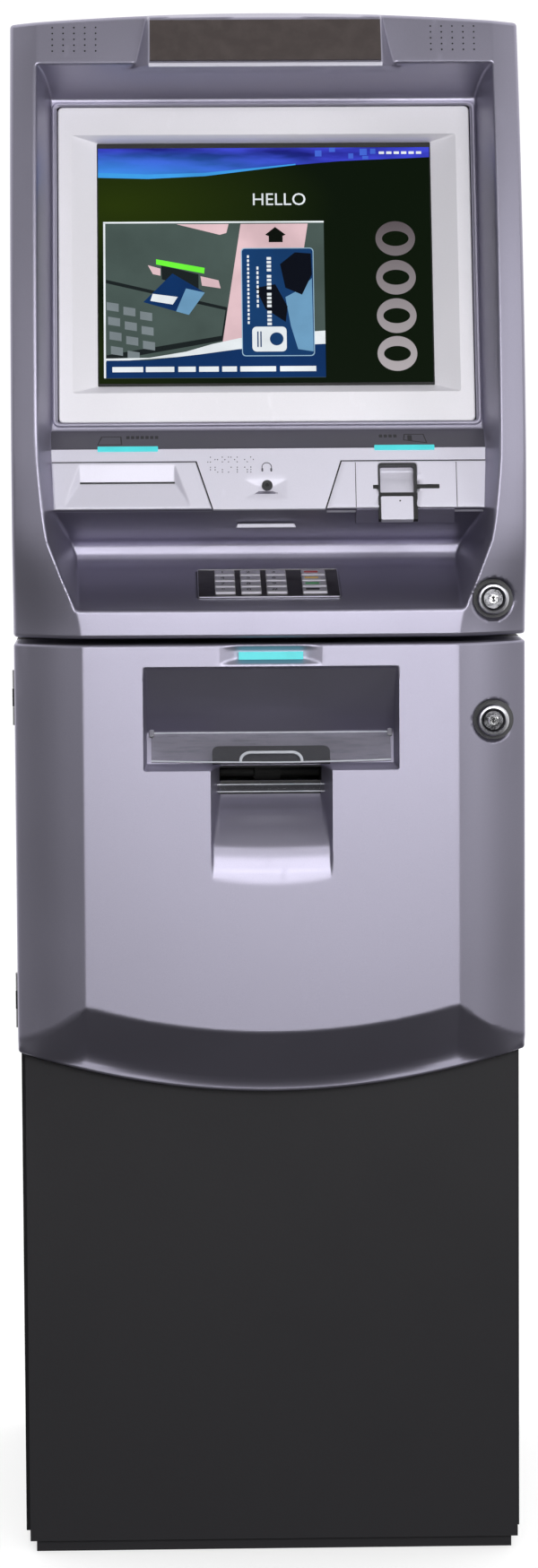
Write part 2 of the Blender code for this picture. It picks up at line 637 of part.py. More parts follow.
# ---------------------------------------------------------------- upper fascia
def make_upper_fascia():
    shell = part("upper_fascia", upper_block(0, UPPER_REAR_Y), SILVER, (*UPPER_HINGE, 0))
    sign_box = outline_mesh([[SIGN_LOW, (-0.1700, SIGN_LOW[1]), (-0.1700, SIGN_HIGH[1]), SIGN_HIGH]],
                            -0.112, 0.112, ALONG_X)
    join(shell, sign_box)
    hollow = hidden("upper_hollow", upper_block(SHELL, 0.02))
    cut_with(hollow, recess_solid(SHELL))
    cut_with(shell, hollow)
    cut_with(shell, recess_solid(0))
    cut(shell,
        box_mesh((-0.1890, -0.1495, -0.05), (0.1890, 0.1525, 0.03), SCREEN),
        box_mesh((-0.1905, -0.0245, -0.03), (-0.0545, 0.0165, 0.03), CONSOLE),
        box_mesh((0.0545, -0.0245, -0.03), (0.1905, 0.0165, 0.03), CONSOLE),
        rod_mesh(CONSOLE @ Matrix.Translation((-0.0016, -0.006, 0)), -0.03, 0.03, 0.0052, 20),
        box_mesh((-0.1517, 0.0207, -0.006), (-0.0973, 0.0272, 0.02), CONSOLE),
        box_mesh((0.0943, 0.0207, -0.006), (0.1489, 0.0272, 0.02), CONSOLE),
        box_mesh((-KEY_PLATE[0] / 2 - GAP, -KEY_PLATE[1] / 2 - GAP, -0.03),
                 (KEY_PLATE[0] / 2 + GAP, KEY_PLATE[1] / 2 + GAP, 0.02), SHELF),
        box_mesh((-0.0273, -0.236, 0.925), (0.0273, -0.229, 0.960)),
        rod_mesh(lock_place(UPPER_LOCK_Z), 0.2, 0.35, LOCK_RING + GAP))
    for start in UPPER_HINGE_Z:
        add_knuckle(shell, UPPER_HINGE, start, 1, UPPER_BARREL, 2)


def make_display():
    bezel = part("screen_bezel", outline_mesh([rounded_rectangle((-0.1885, -0.149), (0.1885, 0.152), 0.006)],
                                              -0.014, 0.0, SCREEN), PALE)
    window = outline_mesh([[(-0.153, -0.1148), (0.153, -0.1148), (0.153, 0.1174), (-0.153, 0.1174)]],
                          -0.03, 0.03, SCREEN)
    cut(bezel, window)
    part("lcd_panel", box_mesh((-0.163, -0.126, -0.036), (0.163, 0.128, -0.0143), SCREEN), DARK_PLASTIC)
    part("sign_panel", box_mesh((-0.1035, -0.0205, GAP), (0.1035, 0.0205, 0.0025), SIGN), BROWN_PANEL)
    for word, side in (("left", -1), ("right", 1)):
        speaker = part(f"speaker_{word}", box_mesh((side * 0.172 - 0.022, -0.177, 1.3635),
                                                   (side * 0.172 + 0.022, -0.155, 1.3825)), DARK_PLASTIC)
        cone = ALONG_Y @ Matrix.Translation((side * 0.172, 1.373, 0))
        cut(speaker, rod_mesh(cone, 0.166, 0.180, 0.003, 16, 0.0085))


def make_console():
    lamp_low, lamp_high = 0.0210, 0.0269
    for name, left, right in (("receipt_lamp", -0.1514, -0.0976), ("card_lamp", 0.0946, 0.1486)):
        part(name, box_mesh((left, lamp_low, -0.0055), (right, lamp_high, 0.0006), CONSOLE), CYAN_LAMP)
    part("console_light", box_mesh((-0.027, -0.2357, 0.9340), (0.027, -0.2293, 0.9425)), PALE)
    mouth = part("receipt_bezel", box_mesh((-0.1902, -0.0242, -0.006), (-0.0548, 0.0162, 0.0), CONSOLE), PALE)
    cut(mouth, box_mesh((-0.167, -0.0045, -0.02), (-0.082, 0.0015, 0.02), CONSOLE))
    throat = part("card_bezel", box_mesh((0.0548, -0.0242, -0.012), (0.1902, 0.0162, 0.0), CONSOLE), PALE)
    cut(throat,
        box_mesh((0.0965, -0.0300, -0.009), (0.1305, 0.0110, 0.02), CONSOLE),
        box_mesh((0.0925, -0.0105, -0.02), (0.1510, -0.0075, 0.02), CONSOLE))
    tongue = box_mesh((0.0985, -0.0240, -0.0095), (0.1285, -0.0125, -0.002), CONSOLE)
    join(throat, tongue)
    jack = CONSOLE @ Matrix.Translation((-0.0016, -0.006, 0))
    socket = part("headphone_jack", rod_mesh(jack, -0.014, 0.001, 0.0047, 20), DARK_PLASTIC, smooth=True)
    cut(socket, rod_mesh(jack, -0.011, 0.01, 0.0018, 12))


def make_receipt_printer():
    left, right = -0.172, -0.077
    printer = part("receipt_printer", box_mesh((left, -0.2520, 0.9690), (right, -0.098, 1.003)), DARK_PLASTIC)
    for x in (left, right - 0.003):
        join(printer, box_mesh((x, -0.10, 0.969), (x + 0.003, -0.030, 1.030)))
    cut(printer, box_mesh((left + 0.004, -0.150, 0.984), (right - 0.004, -0.130, 1.02)))
    axle = axes((0, 1, 0), (0, 0, 1), (1, 0, 0), (0, -0.058, 1.002))
    cut(printer, rod_mesh(axle, -0.2, -0.05, 0.0044))
    platen_axle = axes((0, 1, 0), (0, 0, 1), (1, 0, 0), (0, -0.140, 0.9945))
    cut(printer, rod_mesh(platen_axle, -0.2, -0.05, 0.0034))
    middle = (left + right) / 2
    turned("paper_roll", (middle, -0.058, 1.002),
           [(-0.047, 0.004), (-0.040, 0.004), (-0.040, 0.027), (0.040, 0.027), (0.040, 0.004), (0.047, 0.004)],
           PAPER, 32)
    turned("platen_roller", (middle, -0.140, 0.9945),
           [(-0.047, 0.003), (-0.042, 0.003), (-0.042, 0.007), (0.042, 0.007), (0.042, 0.003), (0.047, 0.003)],
           RUBBER, 20)


def make_card_reader():
    reader = part("card_reader", box_mesh((0.080, -0.2490, 0.9640), (0.163, -0.120, 0.998)), DARK_PLASTIC)
    cut(reader, box_mesh((0.092, -0.30, 0.9740), (0.152, -0.16, 0.9765)))


KEY_COLUMNS = (("1", "4", "7", "star"), ("2", "5", "8", "0"), ("3", "6", "9", "hash"),
               ("cancel", "clear", "enter", "blank"))
KEY_CENTRES = (-0.0394, -0.0160, 0.0073, 0.0415)
KEY_WIDTHS = (0.0184, 0.0184, 0.0184, 0.0221)
KEY_DEPTH = 0.0135
ROW_PITCH = 0.0182


def key_places():
    for column, (words, x, width) in enumerate(zip(KEY_COLUMNS, KEY_CENTRES, KEY_WIDTHS)):
        for row, word in enumerate(words):
            yield f"key_{word}", x, (1.5 - row) * ROW_PITCH, width


def make_keypad():
    module = part("keypad_module", box_mesh((-KEY_PLATE[0] / 2, -KEY_PLATE[1] / 2, -0.018),
                                            (KEY_PLATE[0] / 2, KEY_PLATE[1] / 2, 0.0012), SHELF), DARK_PLASTIC)
    clearance = 0.0004
    for name, x, v, width in key_places():
        half, tall = width / 2, KEY_DEPTH / 2
        cut(module, box_mesh((x - half - clearance, v - tall - clearance, -0.008),
                             (x + half + clearance, v + tall + clearance, 0.01), SHELF))
        origin = SHELF @ Vector((x, v, 0))
        cap = box_mesh((x - half, v - tall, -0.0045), (x + half, v + tall, 0.0035), SHELF)
        key = part(name, cap, GREY_STEEL, origin)
        bevel = key.modifiers.new("edges", "BEVEL")
        bevel.width = 0.0006
        bevel.segments = 1


def main():
    make_plinth()
    make_safe()
    make_safe_door()
    make_door_lock()
    make_dispenser()
    make_note_roller("feed_roller", 0.7093)
    make_note_roller("pinch_roller", 0.7277)
    make_head()
    make_hinge_pins()
    make_lower_fascia()
    make_lock("lower_lock", LOWER_LOCK_Z)
    make_cash_parts()
    make_upper_fascia()
    make_lock("upper_lock", UPPER_LOCK_Z)
    make_display()
    make_console()
    make_receipt_printer()
    make_card_reader()
    make_keypad()


main()
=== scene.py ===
"""Looks of a free-standing cash machine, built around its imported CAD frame."""
import math

import bmesh
import bpy
import numpy as np
from bpy.props import FloatProperty, FloatVectorProperty, PointerProperty
from bpy.types import Operator, Panel, PropertyGroup
from mathutils import Matrix, Vector


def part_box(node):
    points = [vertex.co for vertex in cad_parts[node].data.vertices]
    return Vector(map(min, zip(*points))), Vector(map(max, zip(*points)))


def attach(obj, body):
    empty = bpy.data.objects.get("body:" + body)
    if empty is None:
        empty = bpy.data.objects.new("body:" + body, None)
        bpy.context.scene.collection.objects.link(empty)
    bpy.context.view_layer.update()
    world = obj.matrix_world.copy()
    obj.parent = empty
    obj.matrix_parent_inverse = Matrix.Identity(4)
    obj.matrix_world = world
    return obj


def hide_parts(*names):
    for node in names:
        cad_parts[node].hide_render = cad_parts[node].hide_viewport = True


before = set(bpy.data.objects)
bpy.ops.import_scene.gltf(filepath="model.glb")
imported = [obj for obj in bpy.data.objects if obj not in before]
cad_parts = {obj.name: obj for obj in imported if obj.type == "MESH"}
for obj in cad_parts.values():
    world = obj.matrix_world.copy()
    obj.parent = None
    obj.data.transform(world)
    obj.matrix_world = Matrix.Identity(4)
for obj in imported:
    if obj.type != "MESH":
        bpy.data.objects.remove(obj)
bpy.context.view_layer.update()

bl_info = {
    "name": "Cash machine",
    "version": (1, 0, 0),
    "blender": (4, 5, 0),
    "location": "3D View > Sidebar > Cash machine",
    "description": "Builds the finished surfaces of a free-standing cash machine",
    "category": "Object",
}

# ---------------------------------------------------------------- sizes read from the frame
UPPER_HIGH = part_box("upper_fascia")[1]
LOWER_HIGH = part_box("lower_fascia")[1]
HALF = UPPER_HIGH.x
FRONT_Y = -0.310
SHELF_TILT = math.radians(14)
SCREEN_TILT = math.radians(17)
SCREEN_CENTRE = (-0.187, 1.177)
CONSOLE_LOW = (-0.285, 0.957)
CONSOLE_HIGH = (-0.262, 1.011)
SIGN_LOW = (-0.2435, 1.3515)
SIGN_HIGH = (-0.2200, 1.3985)
KEY_PLATE_Y = -0.2255
SHELF_FRONT = (-0.300, 0.869)
CREASE_X = 0.168
CROWN = 0.004
SIDE_SETBACK = 0.045
ARC_RADIUS = 1.356
UPPER_BOTTOM_Z = 0.8435
TOP_Z = 1.403
TOP_ARCH = 0.009
LOWER_TOP_Z = 0.838
LOCK_X = 0.1998
UPPER_LOCK_Z = 0.876
LOWER_LOCK_Z = 0.767
LOCK_WELL_RADIUS = 0.0188
LOCK_WELL_Y = -0.2782
JACK_PAD_DEPTH = 0.0022
LOWER_HINGE = (-0.2300, -0.2075)
UPPER_HINGE = (-0.2260, -0.0985)
LABEL_LOW = (-0.2620, 1.0110)
LABEL_HIGH = (-0.2329, 1.0270)
FLAP_AXIS = (-0.283, 0.757)
FLAP_TILT = math.atan2(0.0205, 0.0265)


# ---------------------------------------------------------------- shader expressions
class Wire:
    """A number inside a material; arithmetic on it adds Math nodes."""

    def __init__(self, recipe, socket):
        self.recipe = recipe
        self.socket = socket

    def _math(self, operation, *values):
        inputs = dict(enumerate(values))
        return self.recipe.node("ShaderNodeMath", {"operation": operation}, inputs)

    def __add__(self, other):
        return self._math("ADD", self, other)

    def __radd__(self, other):
        return self._math("ADD", other, self)

    def __sub__(self, other):
        return self._math("SUBTRACT", self, other)

    def __rsub__(self, other):
        return self._math("SUBTRACT", other, self)

    def __mul__(self, other):
        return self._math("MULTIPLY", self, other)

    def __rmul__(self, other):
        return self._math("MULTIPLY", other, self)

    def __truediv__(self, other):
        return self._math("DIVIDE", self, other)

    def __pow__(self, other):
        return self._math("POWER", self, other)


class Recipe:
    """A material's or the surround's nodes, and the shader that they feed."""

    def __init__(self, owner, shader="Principled BSDF"):
        owner.use_nodes = True
        self.material = owner
        self.tree = owner.node_tree
        self.shader = self.tree.nodes[shader]

    def node(self, kind, settings=None, inputs=None, output=0):
        """Adds a node of this kind, sets it, feeds its sockets and returns one output."""
        made = self.tree.nodes.new(kind)
        for name, value in (settings or {}).items():
            if name == "stops":
                self.set_stops(made.color_ramp, value)
            else:
                setattr(made, name, value)
        for key, value in (inputs or {}).items():
            self.feed(made.inputs[key], value)
        return Wire(self, made.outputs[output])

    @staticmethod
    def set_stops(ramp, stops):
        while len(ramp.elements) < len(stops):
            ramp.elements.new(0.5)
        for element, (position, colour) in zip(ramp.elements, stops):
            element.position = position
            element.color = colour

    def feed(self, socket, value):
        if isinstance(value, Wire):
            self.tree.links.new(value.socket, socket)
        else:
            socket.default_value = value

    def set(self, **values):
        """Sets or links sockets of the surface shader, written with _ for spaces."""
        for name, value in values.items():
            self.feed(self.shader.inputs[name.replace("_", " ")], value)

    def place(self):
        return self.node("ShaderNodeTexCoord", output="Object")

    def axis(self, name):
        """One of the object's coordinates, in metres: the pieces' own frame is the machine's."""
        return self.node("ShaderNodeSeparateXYZ", None, {0: self.place()}, name)

    def spot(self, x, z, wide, tall):
        """1 at (x, z), falling to 0 on an ellipse round it."""
        across = (self.axis("X") - x) / wide
        up = (self.axis("Z") - z) / tall
        return self.ramp((across * across + up * up) ** 0.5, 0.0, 1.0, 1.0, 0.0)

    def noise(self, scale, detail=2.0, rough=0.5, stretch=None):
        where = self.place()
        if stretch:
            where = self.node("ShaderNodeVectorMath", {"operation": "MULTIPLY"}, {0: where, 1: stretch})
        return self.node("ShaderNodeTexNoise", None,
                         {"Vector": where, "Scale": scale, "Detail": detail, "Roughness": rough})

    def ramp(self, value, low, high, to_low=0.0, to_high=1.0):
        return self.node("ShaderNodeMapRange", {"clamp": True},
                         {"Value": value, "From Min": low, "From Max": high, "To Min": to_low, "To Max": to_high})

    def mix(self, factor, first, second):
        return self.node("ShaderNodeMix", {"data_type": "RGBA"}, {0: factor, 6: first, 7: second}, 2)

    def bump(self, height, strength, distance, under=None):
        inputs = {"Height": height, "Strength": strength, "Distance": distance}
        if under:
            inputs["Normal"] = under
        return self.node("ShaderNodeBump", None, inputs)


def shade(colour, factor):
    return tuple(c * factor for c in colour[:3]) + (1.0,)


def display_colour(red, green, blue):
    """A colour as a display states it, 0 to 255, made linear."""
    return tuple((c / 255) ** 2.2 for c in (red, green, blue)) + (1.0,)


BLACK = (0.0, 0.0, 0.0, 1.0)
WHITE = (1.0, 1.0, 1.0, 1.0)


def metallic_paint(name, colour, roughness=0.46, metallic=0.93, flake=1.0, wear=1.0):
    """Moulded plastic under a fine silver paint: grain, soft blotches, faint scuffs."""
    r = Recipe(bpy.data.materials.new(name))
    fine = r.noise(2600, 2, 0.6)
    grain = r.noise(900, 3, 0.6)
    broad = r.noise(5, 3, 0.5)
    scuffs = r.noise(60, 5, 0.65, (1.0, 1.0, 0.25))
    scuff = r.ramp(scuffs, 0.62, 0.78) * 0.25 * wear
    tone = r.ramp(fine, 0.30, 0.70, -0.10 * flake, 0.10 * flake) + r.ramp(broad, 0.3, 0.7, -0.05, 0.05)
    base = r.mix(0.5 + tone, shade(colour, 0.72), shade(colour, 1.28))
    base = r.mix(scuff, base, shade(colour, 1.25))
    r.set(Base_Color=base, Metallic=metallic,
          Roughness=roughness + r.ramp(broad, 0.3, 0.7, -0.03, 0.04) + scuff * 0.4)
    r.set(Normal=r.bump(grain, 0.10 * flake, 0.0002, r.bump(broad, 0.05, 0.002)))
    return r.material


def powder_coat(name, colour, roughness=0.55):
    """Baked powder paint on steel: orange peel, dust, faint rubs."""
    r = Recipe(bpy.data.materials.new(name))
    peel = r.noise(420, 3, 0.55)
    speck = r.noise(1800, 2, 0.5)
    broad = r.noise(4, 4, 0.55)
    dust = r.ramp(r.noise(35, 6, 0.7), 0.55, 0.85) * r.ramp(broad, 0.45, 0.7)
    base = r.mix(r.ramp(speck, 0.35, 0.65, 0.25, 0.75), shade(colour, 0.8), shade(colour, 1.2))
    base = r.mix(dust * 0.25, base, shade(colour, 2.4))
    r.set(Base_Color=base, Roughness=roughness + r.ramp(broad, 0.3, 0.7, -0.06, 0.08) + dust * 0.1,
          Specular_IOR_Level=0.3)
    r.set(Normal=r.bump(peel, 0.22, 0.0003))
    return r.material


def moulded_plastic(name, colour, roughness=0.45):
    r = Recipe(bpy.data.materials.new(name))
    grain = r.noise(1300, 3, 0.6)
    broad = r.noise(14, 3, 0.5)
    base = r.mix(r.ramp(broad, 0.3, 0.7, 0.35, 0.65), shade(colour, 0.85), shade(colour, 1.2))
    r.set(Base_Color=base, Roughness=roughness + r.ramp(broad, 0.3, 0.7, -0.05, 0.07))
    r.set(Normal=r.bump(grain, 0.18, 0.0002))
    return r.material


def brushed_metal(name, colour, roughness=0.28, along=(1.0, 1.0, 14.0), metallic=1.0):
    """Steel with fine brushing marks along one direction and a few finger smears."""
    r = Recipe(bpy.data.materials.new(name))
    lines = r.noise(900, 3, 0.7, along)
    smear = r.noise(45, 3, 0.5)
    base = r.mix(r.ramp(lines, 0.3, 0.7, 0.3, 0.7), shade(colour, 0.82), shade(colour, 1.15))
    r.set(Base_Color=base, Metallic=metallic, Roughness=roughness + r.ramp(lines, 0.3, 0.7, -0.05, 0.07)
          + r.ramp(smear, 0.5, 0.7, 0.0, 0.10))
    r.set(Normal=r.bump(lines, 0.10, 0.0001))
    return r.material


def chrome(name, colour=(0.80, 0.80, 0.82)):
    r = Recipe(bpy.data.materials.new(name))
    smear = r.noise(260, 4, 0.6)
    base = r.mix(r.ramp(smear, 0.4, 0.7), shade(colour, 1.0), shade(colour, 0.8))
    r.set(Base_Color=base, Metallic=1.0, Roughness=r.ramp(smear, 0.35, 0.75, 0.08, 0.24))
    r.set(Normal=r.bump(r.noise(700, 2), 0.03, 0.0001))
    return r.material


def rubber(name, colour):
    r = Recipe(bpy.data.materials.new(name))
    grain = r.noise(1500, 3, 0.6)
    dust = r.ramp(r.noise(90, 5, 0.7), 0.5, 0.8)
    r.set(Base_Color=r.mix(dust * 0.3, shade(colour, 1.0), shade(colour, 2.6)), Roughness=0.72 + dust * 0.15)
    r.set(Normal=r.bump(grain, 0.25, 0.0003))
    return r.material


def paper(name, colour):
    """A wound roll: thin rings of layers on its ends, fibres all over."""
    r = Recipe(bpy.data.materials.new(name))
    fibres = r.noise(700, 4, 0.6)
    layers = r.noise(300, 2, 0.5, (0.1, 6.0, 6.0))
    base = r.mix(r.ramp(layers, 0.35, 0.65), shade(colour, 0.9), shade(colour, 1.02))
    r.set(Base_Color=base, Roughness=0.82 + r.ramp(fibres, 0.3, 0.7, -0.05, 0.05))
    r.set(Normal=r.bump(fibres, 0.2, 0.0002))
    return r.material


def clear_plastic(name, tint, alpha=0.32):
    """Moulded clear plastic: see-through in the middle, milky where it is scratched."""
    r = Recipe(bpy.data.materials.new(name))
    scratches = r.noise(90, 5, 0.7, (0.3, 1.0, 3.0))
    haze = r.ramp(scratches, 0.5, 0.75)
    r.set(Base_Color=r.mix(haze, shade(tint, 1.0), shade(tint, 1.15)),
          Roughness=r.ramp(scratches, 0.4, 0.8, 0.07, 0.3))
    r.set(Alpha=alpha + haze * 0.2, Coat_Weight=0.4)
    r.set(Normal=r.bump(scratches, 0.04, 0.0002))
    return r.material


def lamp_lens(name, colour, strength):
    """A lit lens: paler along its middle, with a faint moulded texture."""
    r = Recipe(bpy.data.materials.new(name))
    cells = r.noise(500, 2, 0.5)
    glow = r.ramp(r.noise(60, 2), 0.3, 0.7, 0.35, 0.65) * r.ramp(cells, 0.2, 0.8, 0.85, 1.05)
    r.set(Base_Color=r.mix(glow, shade(colour, 0.12), shade(colour, 0.2)), Roughness=0.35,
          Emission_Color=r.mix(glow, shade(colour, 0.8), shade(colour, 1.12)), Emission_Strength=strength)
    return r.material


def smoked_gloss(name, colour, roughness=0.42):
    """Smoked acrylic with a satin face, polishing haze and a little dust."""
    r = Recipe(bpy.data.materials.new(name))
    haze = r.noise(70, 5, 0.6)
    base = r.mix(r.ramp(haze, 0.4, 0.75), shade(colour, 0.9), shade(colour, 1.15))
    r.set(Base_Color=base, Roughness=roughness + r.ramp(haze, 0.4, 0.8, 0.0, 0.10), Specular_IOR_Level=0.25)
    r.set(Normal=r.bump(r.noise(900, 2), 0.05, 0.0002))
    return r.material


def lit_picture(name, colour, strength=1.0):
    """A lit area of the display: colour is a function that returns the material's colour link."""
    r = Recipe(bpy.data.materials.new(name))
    tint = colour(r)
    cells = r.ramp(r.noise(2500, 1), 0.3, 0.7, 0.0, 0.06)
    r.set(Base_Color=(0.002, 0.002, 0.002, 1), Roughness=0.4, Specular_IOR_Level=0.03,
          Emission_Color=r.mix(cells, tint, BLACK), Emission_Strength=strength)
    return r.material


# ---------------------------------------------------------------- mesh helpers
RELIEF_EDGE_RADIUS = 0.0005
LETTER_RELIEF = 0.00006
CAPITAL_TO_TYPE_SIZE = 1.4


def finish_mesh(name, mesh, body, finish_name, smooth_angle=35):
    """Links a mesh as a named piece that rides on a body and has one of the finishes."""
    piece = bpy.data.objects.new(name, mesh)
    bpy.context.scene.collection.objects.link(piece)
    mesh.materials.clear()
    mesh.materials.append(finish(finish_name))
    if smooth_angle:
        mesh.shade_smooth()
        mesh.set_sharp_from_angle(angle=math.radians(smooth_angle))
    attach(piece, body)
    return piece


def plate(name, body, finish_name, outlines, span, place, bevel=0.0):
    """A flat piece with its low and high faces at span along the placement's local Z."""
    piece = finish_mesh(name, plate_mesh(outlines, span[0], span[1], place), body, finish_name)
    return bevelled(piece, bevel) if bevel else piece


def bevelled(piece, width, segments=3, angle=30):
    bevel = piece.modifiers.new("edges", "BEVEL")
    bevel.width = width
    bevel.segments = segments
    bevel.limit_method = "ANGLE"
    bevel.angle_limit = math.radians(angle)
    bevel.harden_normals = True
    return piece


def leaning(centre, tilt):
    """Local X is +X, local Y runs up a face that leans back by tilt, local Z points out of it."""
    up = Vector((0, math.sin(tilt), math.cos(tilt)))
    out = Vector((0, -math.cos(tilt), math.sin(tilt)))
    turn = Matrix(((1, 0, 0), up, out)).transposed().to_4x4()
    return Matrix.Translation((0, centre[0], centre[1])) @ turn


def slope_place(low, high):
    """The face from one (y, z) point up to another, with its origin halfway."""
    middle = ((low[0] + high[0]) / 2, (low[1] + high[1]) / 2)
    return leaning(middle, math.atan2(high[0] - low[0], high[1] - low[1]))


SCREEN = leaning(SCREEN_CENTRE, SCREEN_TILT)
CONSOLE = slope_place(CONSOLE_LOW, CONSOLE_HIGH)
SIGN = slope_place(SIGN_LOW, SIGN_HIGH)
SHELF_Z = SHELF_FRONT[1] + (KEY_PLATE_Y - SHELF_FRONT[0]) * math.tan(SHELF_TILT)
SHELF = leaning((KEY_PLATE_Y, SHELF_Z), math.radians(90) - SHELF_TILT)
LABEL = slope_place(LABEL_LOW, LABEL_HIGH)
UPRIGHT = leaning((0, 0), 0)
FLAP = leaning(FLAP_AXIS, FLAP_TILT)
SIDEWAYS = Matrix(((0, 0, 1, 0), (1, 0, 0, 0), (0, 1, 0, 0), (0, 0, 0, 1)))


def made_mesh(shape, name):
    """The mesh of a finished shape, with all its faces turned outwards."""
    bmesh.ops.recalc_face_normals(shape, faces=shape.faces)
    mesh = bpy.data.meshes.new(name)
    shape.to_mesh(mesh)
    shape.free()
    return mesh


def curve_mesh(curve):
    """The mesh of a curve, which is removed."""
    holder = bpy.data.objects.new("outline", curve)
    bpy.context.scene.collection.objects.link(holder)
    evaluated = holder.evaluated_get(bpy.context.evaluated_depsgraph_get())
    mesh = bpy.data.meshes.new_from_object(evaluated)
    bpy.data.objects.remove(holder)
    bpy.data.curves.remove(curve)
    return mesh


def plate_mesh(outlines, low, high, place):
    """Flat outlines, the first solid and the others holes, extruded along the placement's local Z."""
    curve = bpy.data.curves.new("outline", "CURVE")
    curve.dimensions = "2D"
    curve.fill_mode = "BOTH"
    curve.extrude = (high - low) / 2
    for points in outlines:
        spline = curve.splines.new("POLY")
        spline.points.add(len(points) - 1)
        for point, (x, y) in zip(spline.points, points):
            point.co = (x, y, 0, 1)
        spline.use_cyclic_u = True
    shape = bmesh.new()
    flat = curve_mesh(curve)
    shape.from_mesh(flat)
    bpy.data.meshes.remove(flat)
    bmesh.ops.remove_doubles(shape, verts=shape.verts, dist=0.000001)
    bmesh.ops.dissolve_limit(shape, angle_limit=math.radians(1), verts=shape.verts, edges=shape.edges)
    shape.transform(place @ Matrix.Translation((0, 0, (low + high) / 2)))
    return made_mesh(shape, "plate")


def closed_loft(rings, place):
    """A ring-shaped solid: the rings of points follow each other and the last joins the first."""
    shape = bmesh.new()
    lines = [[shape.verts.new(place @ Vector(point)) for point in ring] for ring in rings]
    for here, after in zip(lines, lines[1:] + lines[:1]):
        for i in range(len(here)):
            shape.faces.new((here[i - 1], here[i], after[i], after[i - 1]))
    return made_mesh(shape, "loft")


def grid_faces(shape, grid, kept=None):
    """Faces between the columns of vertices, except where kept(i, j) says no."""
    for i in range(len(grid) - 1):
        for j in range(len(grid[0]) - 1):
            if kept is None or kept(i, j):
                shape.faces.new((grid[i][j], grid[i + 1][j], grid[i + 1][j + 1], grid[i][j + 1]))


def grid_walls(shape, grid, behind):
    """Walls from the grid's rim back to where behind(vertex) says; returns both rims."""
    top = len(grid[0]) - 1
    rim = ([line[0] for line in grid] + grid[-1][1:] + [line[top] for line in grid[-2::-1]]
           + grid[0][top - 1:0:-1])
    rear = [shape.verts.new(behind(vert.co)) for vert in rim]
    for i in range(len(rim)):
        shape.faces.new((rim[i], rim[i - 1], rear[i - 1], rear[i]))
    return rim, rear


def relief_mesh(place, columns, rows, left, right, height, back):
    """A plate whose face is a height map: column shares 0 to 1 run from left(row) to right(row)."""
    share, v = np.meshgrid(columns, rows, indexing="ij")
    u = left(v) + (right(v) - left(v)) * share
    n = softened(height, u, v, RELIEF_EDGE_RADIUS)
    shape = bmesh.new()
    grid = [[shape.verts.new(point) for point in zip(*line)] for line in zip(u, v, n)]
    grid_faces(shape, grid)
    shape.faces.new(grid_walls(shape, grid, lambda co: (co.x, co.y, back))[1])
    shape.transform(place)
    return made_mesh(shape, "relief")


def letter_mesh(text, height, place):
    """Raised letters or digits, centred on the placement's origin."""
    curve = bpy.data.curves.new("letters", "FONT")
    curve.body = text
    curve.size = height * CAPITAL_TO_TYPE_SIZE
    curve.align_x = "CENTER"
    curve.align_y = "CENTER"
    curve.extrude = LETTER_RELIEF
    curve.resolution_u = 3
    mesh = curve_mesh(curve)
    mesh.transform(place)
    return mesh


def joined(meshes):
    """One mesh from several, each staying a body of its own."""
    shape = bmesh.new()
    for mesh in meshes:
        shape.from_mesh(mesh)
    result = bpy.data.meshes.new("joined")
    shape.to_mesh(result)
    shape.free()
    return result


def arc(centre, radii, start, end, steps):
    """Points on an ellipse from one angle to another, both included."""
    angles = [start + (end - start) * i / steps for i in range(steps + 1)]
    return [(centre[0] + radii[0] * math.cos(a), centre[1] + radii[1] * math.sin(a)) for a in angles]


def circle(centre, radius, steps=32, tall=None):
    return arc(centre, (radius, tall or radius), 0, math.tau, steps)[:-1]


def rectangle(low, high, radius=0.0):
    """The outline of a box from corner to corner, with its corners rounded."""
    if not radius:
        return [(low[0], low[1]), (high[0], low[1]), (high[0], high[1]), (low[0], high[1])]
    right, top, left, bottom = high[0] - radius, high[1] - radius, low[0] + radius, low[1] + radius
    points = []
    for quarter, centre in enumerate(((right, top), (left, top), (left, bottom), (right, bottom))):
        points += arc(centre, (radius, radius), quarter * math.pi / 2, (quarter + 1) * math.pi / 2, 4)
    return points


def turned_mesh(profile, place, steps=64):
    """A turned shape: (radius, height) points turned round the placement's local Z."""
    shape = bmesh.new()
    rings = []
    for radius, height in profile:
        points = circle((0, 0), radius, steps) if radius > 1e-6 else [(0, 0)]
        rings.append([shape.verts.new((*point, height)) for point in points])
    for low, high in zip(rings, rings[1:]):
        for i in range(steps):
            j = (i + 1) % steps
            if len(low) == 1:
                shape.faces.new((low[0], high[i], high[j]))
            elif len(high) == 1:
                shape.faces.new((low[i], low[j], high[0]))
            else:
                shape.faces.new((low[i], low[j], high[j], high[i]))
    shape.transform(place)
    return made_mesh(shape, "turned")


# ---------------------------------------------------------------- moulded fronts
def lines_between(*spans):
    """Sorted grid lines from (start, end, largest step) spans."""
    values = set()
    for start, end, step in spans:
        count = max(1, round((end - start) / step))
        values.update(round(start + (end - start) * i / count, 6) for i in range(count + 1))
    values = sorted(values)
    return np.array([v for i, v in enumerate(values) if i == 0 or v - values[i - 1] > 0.00015])


def spans_from(start, *steps):
    """(start, end, largest step) spans that follow each other, from (end, largest step) pairs."""
    ends = [start] + [end for end, step in steps]
    return [(low, high, step) for low, (high, step) in zip(ends, steps)]


def with_lines(lines, *more):
    return np.array(sorted(set(lines) | set(more)))


def edge_lines(*edges, reach=0.0016):
    """Extra grid lines close to the places where a surface turns sharply."""
    return [e + s * reach for e in edges for s in (-1, -0.45, -0.12, 0.12, 0.45, 1)]


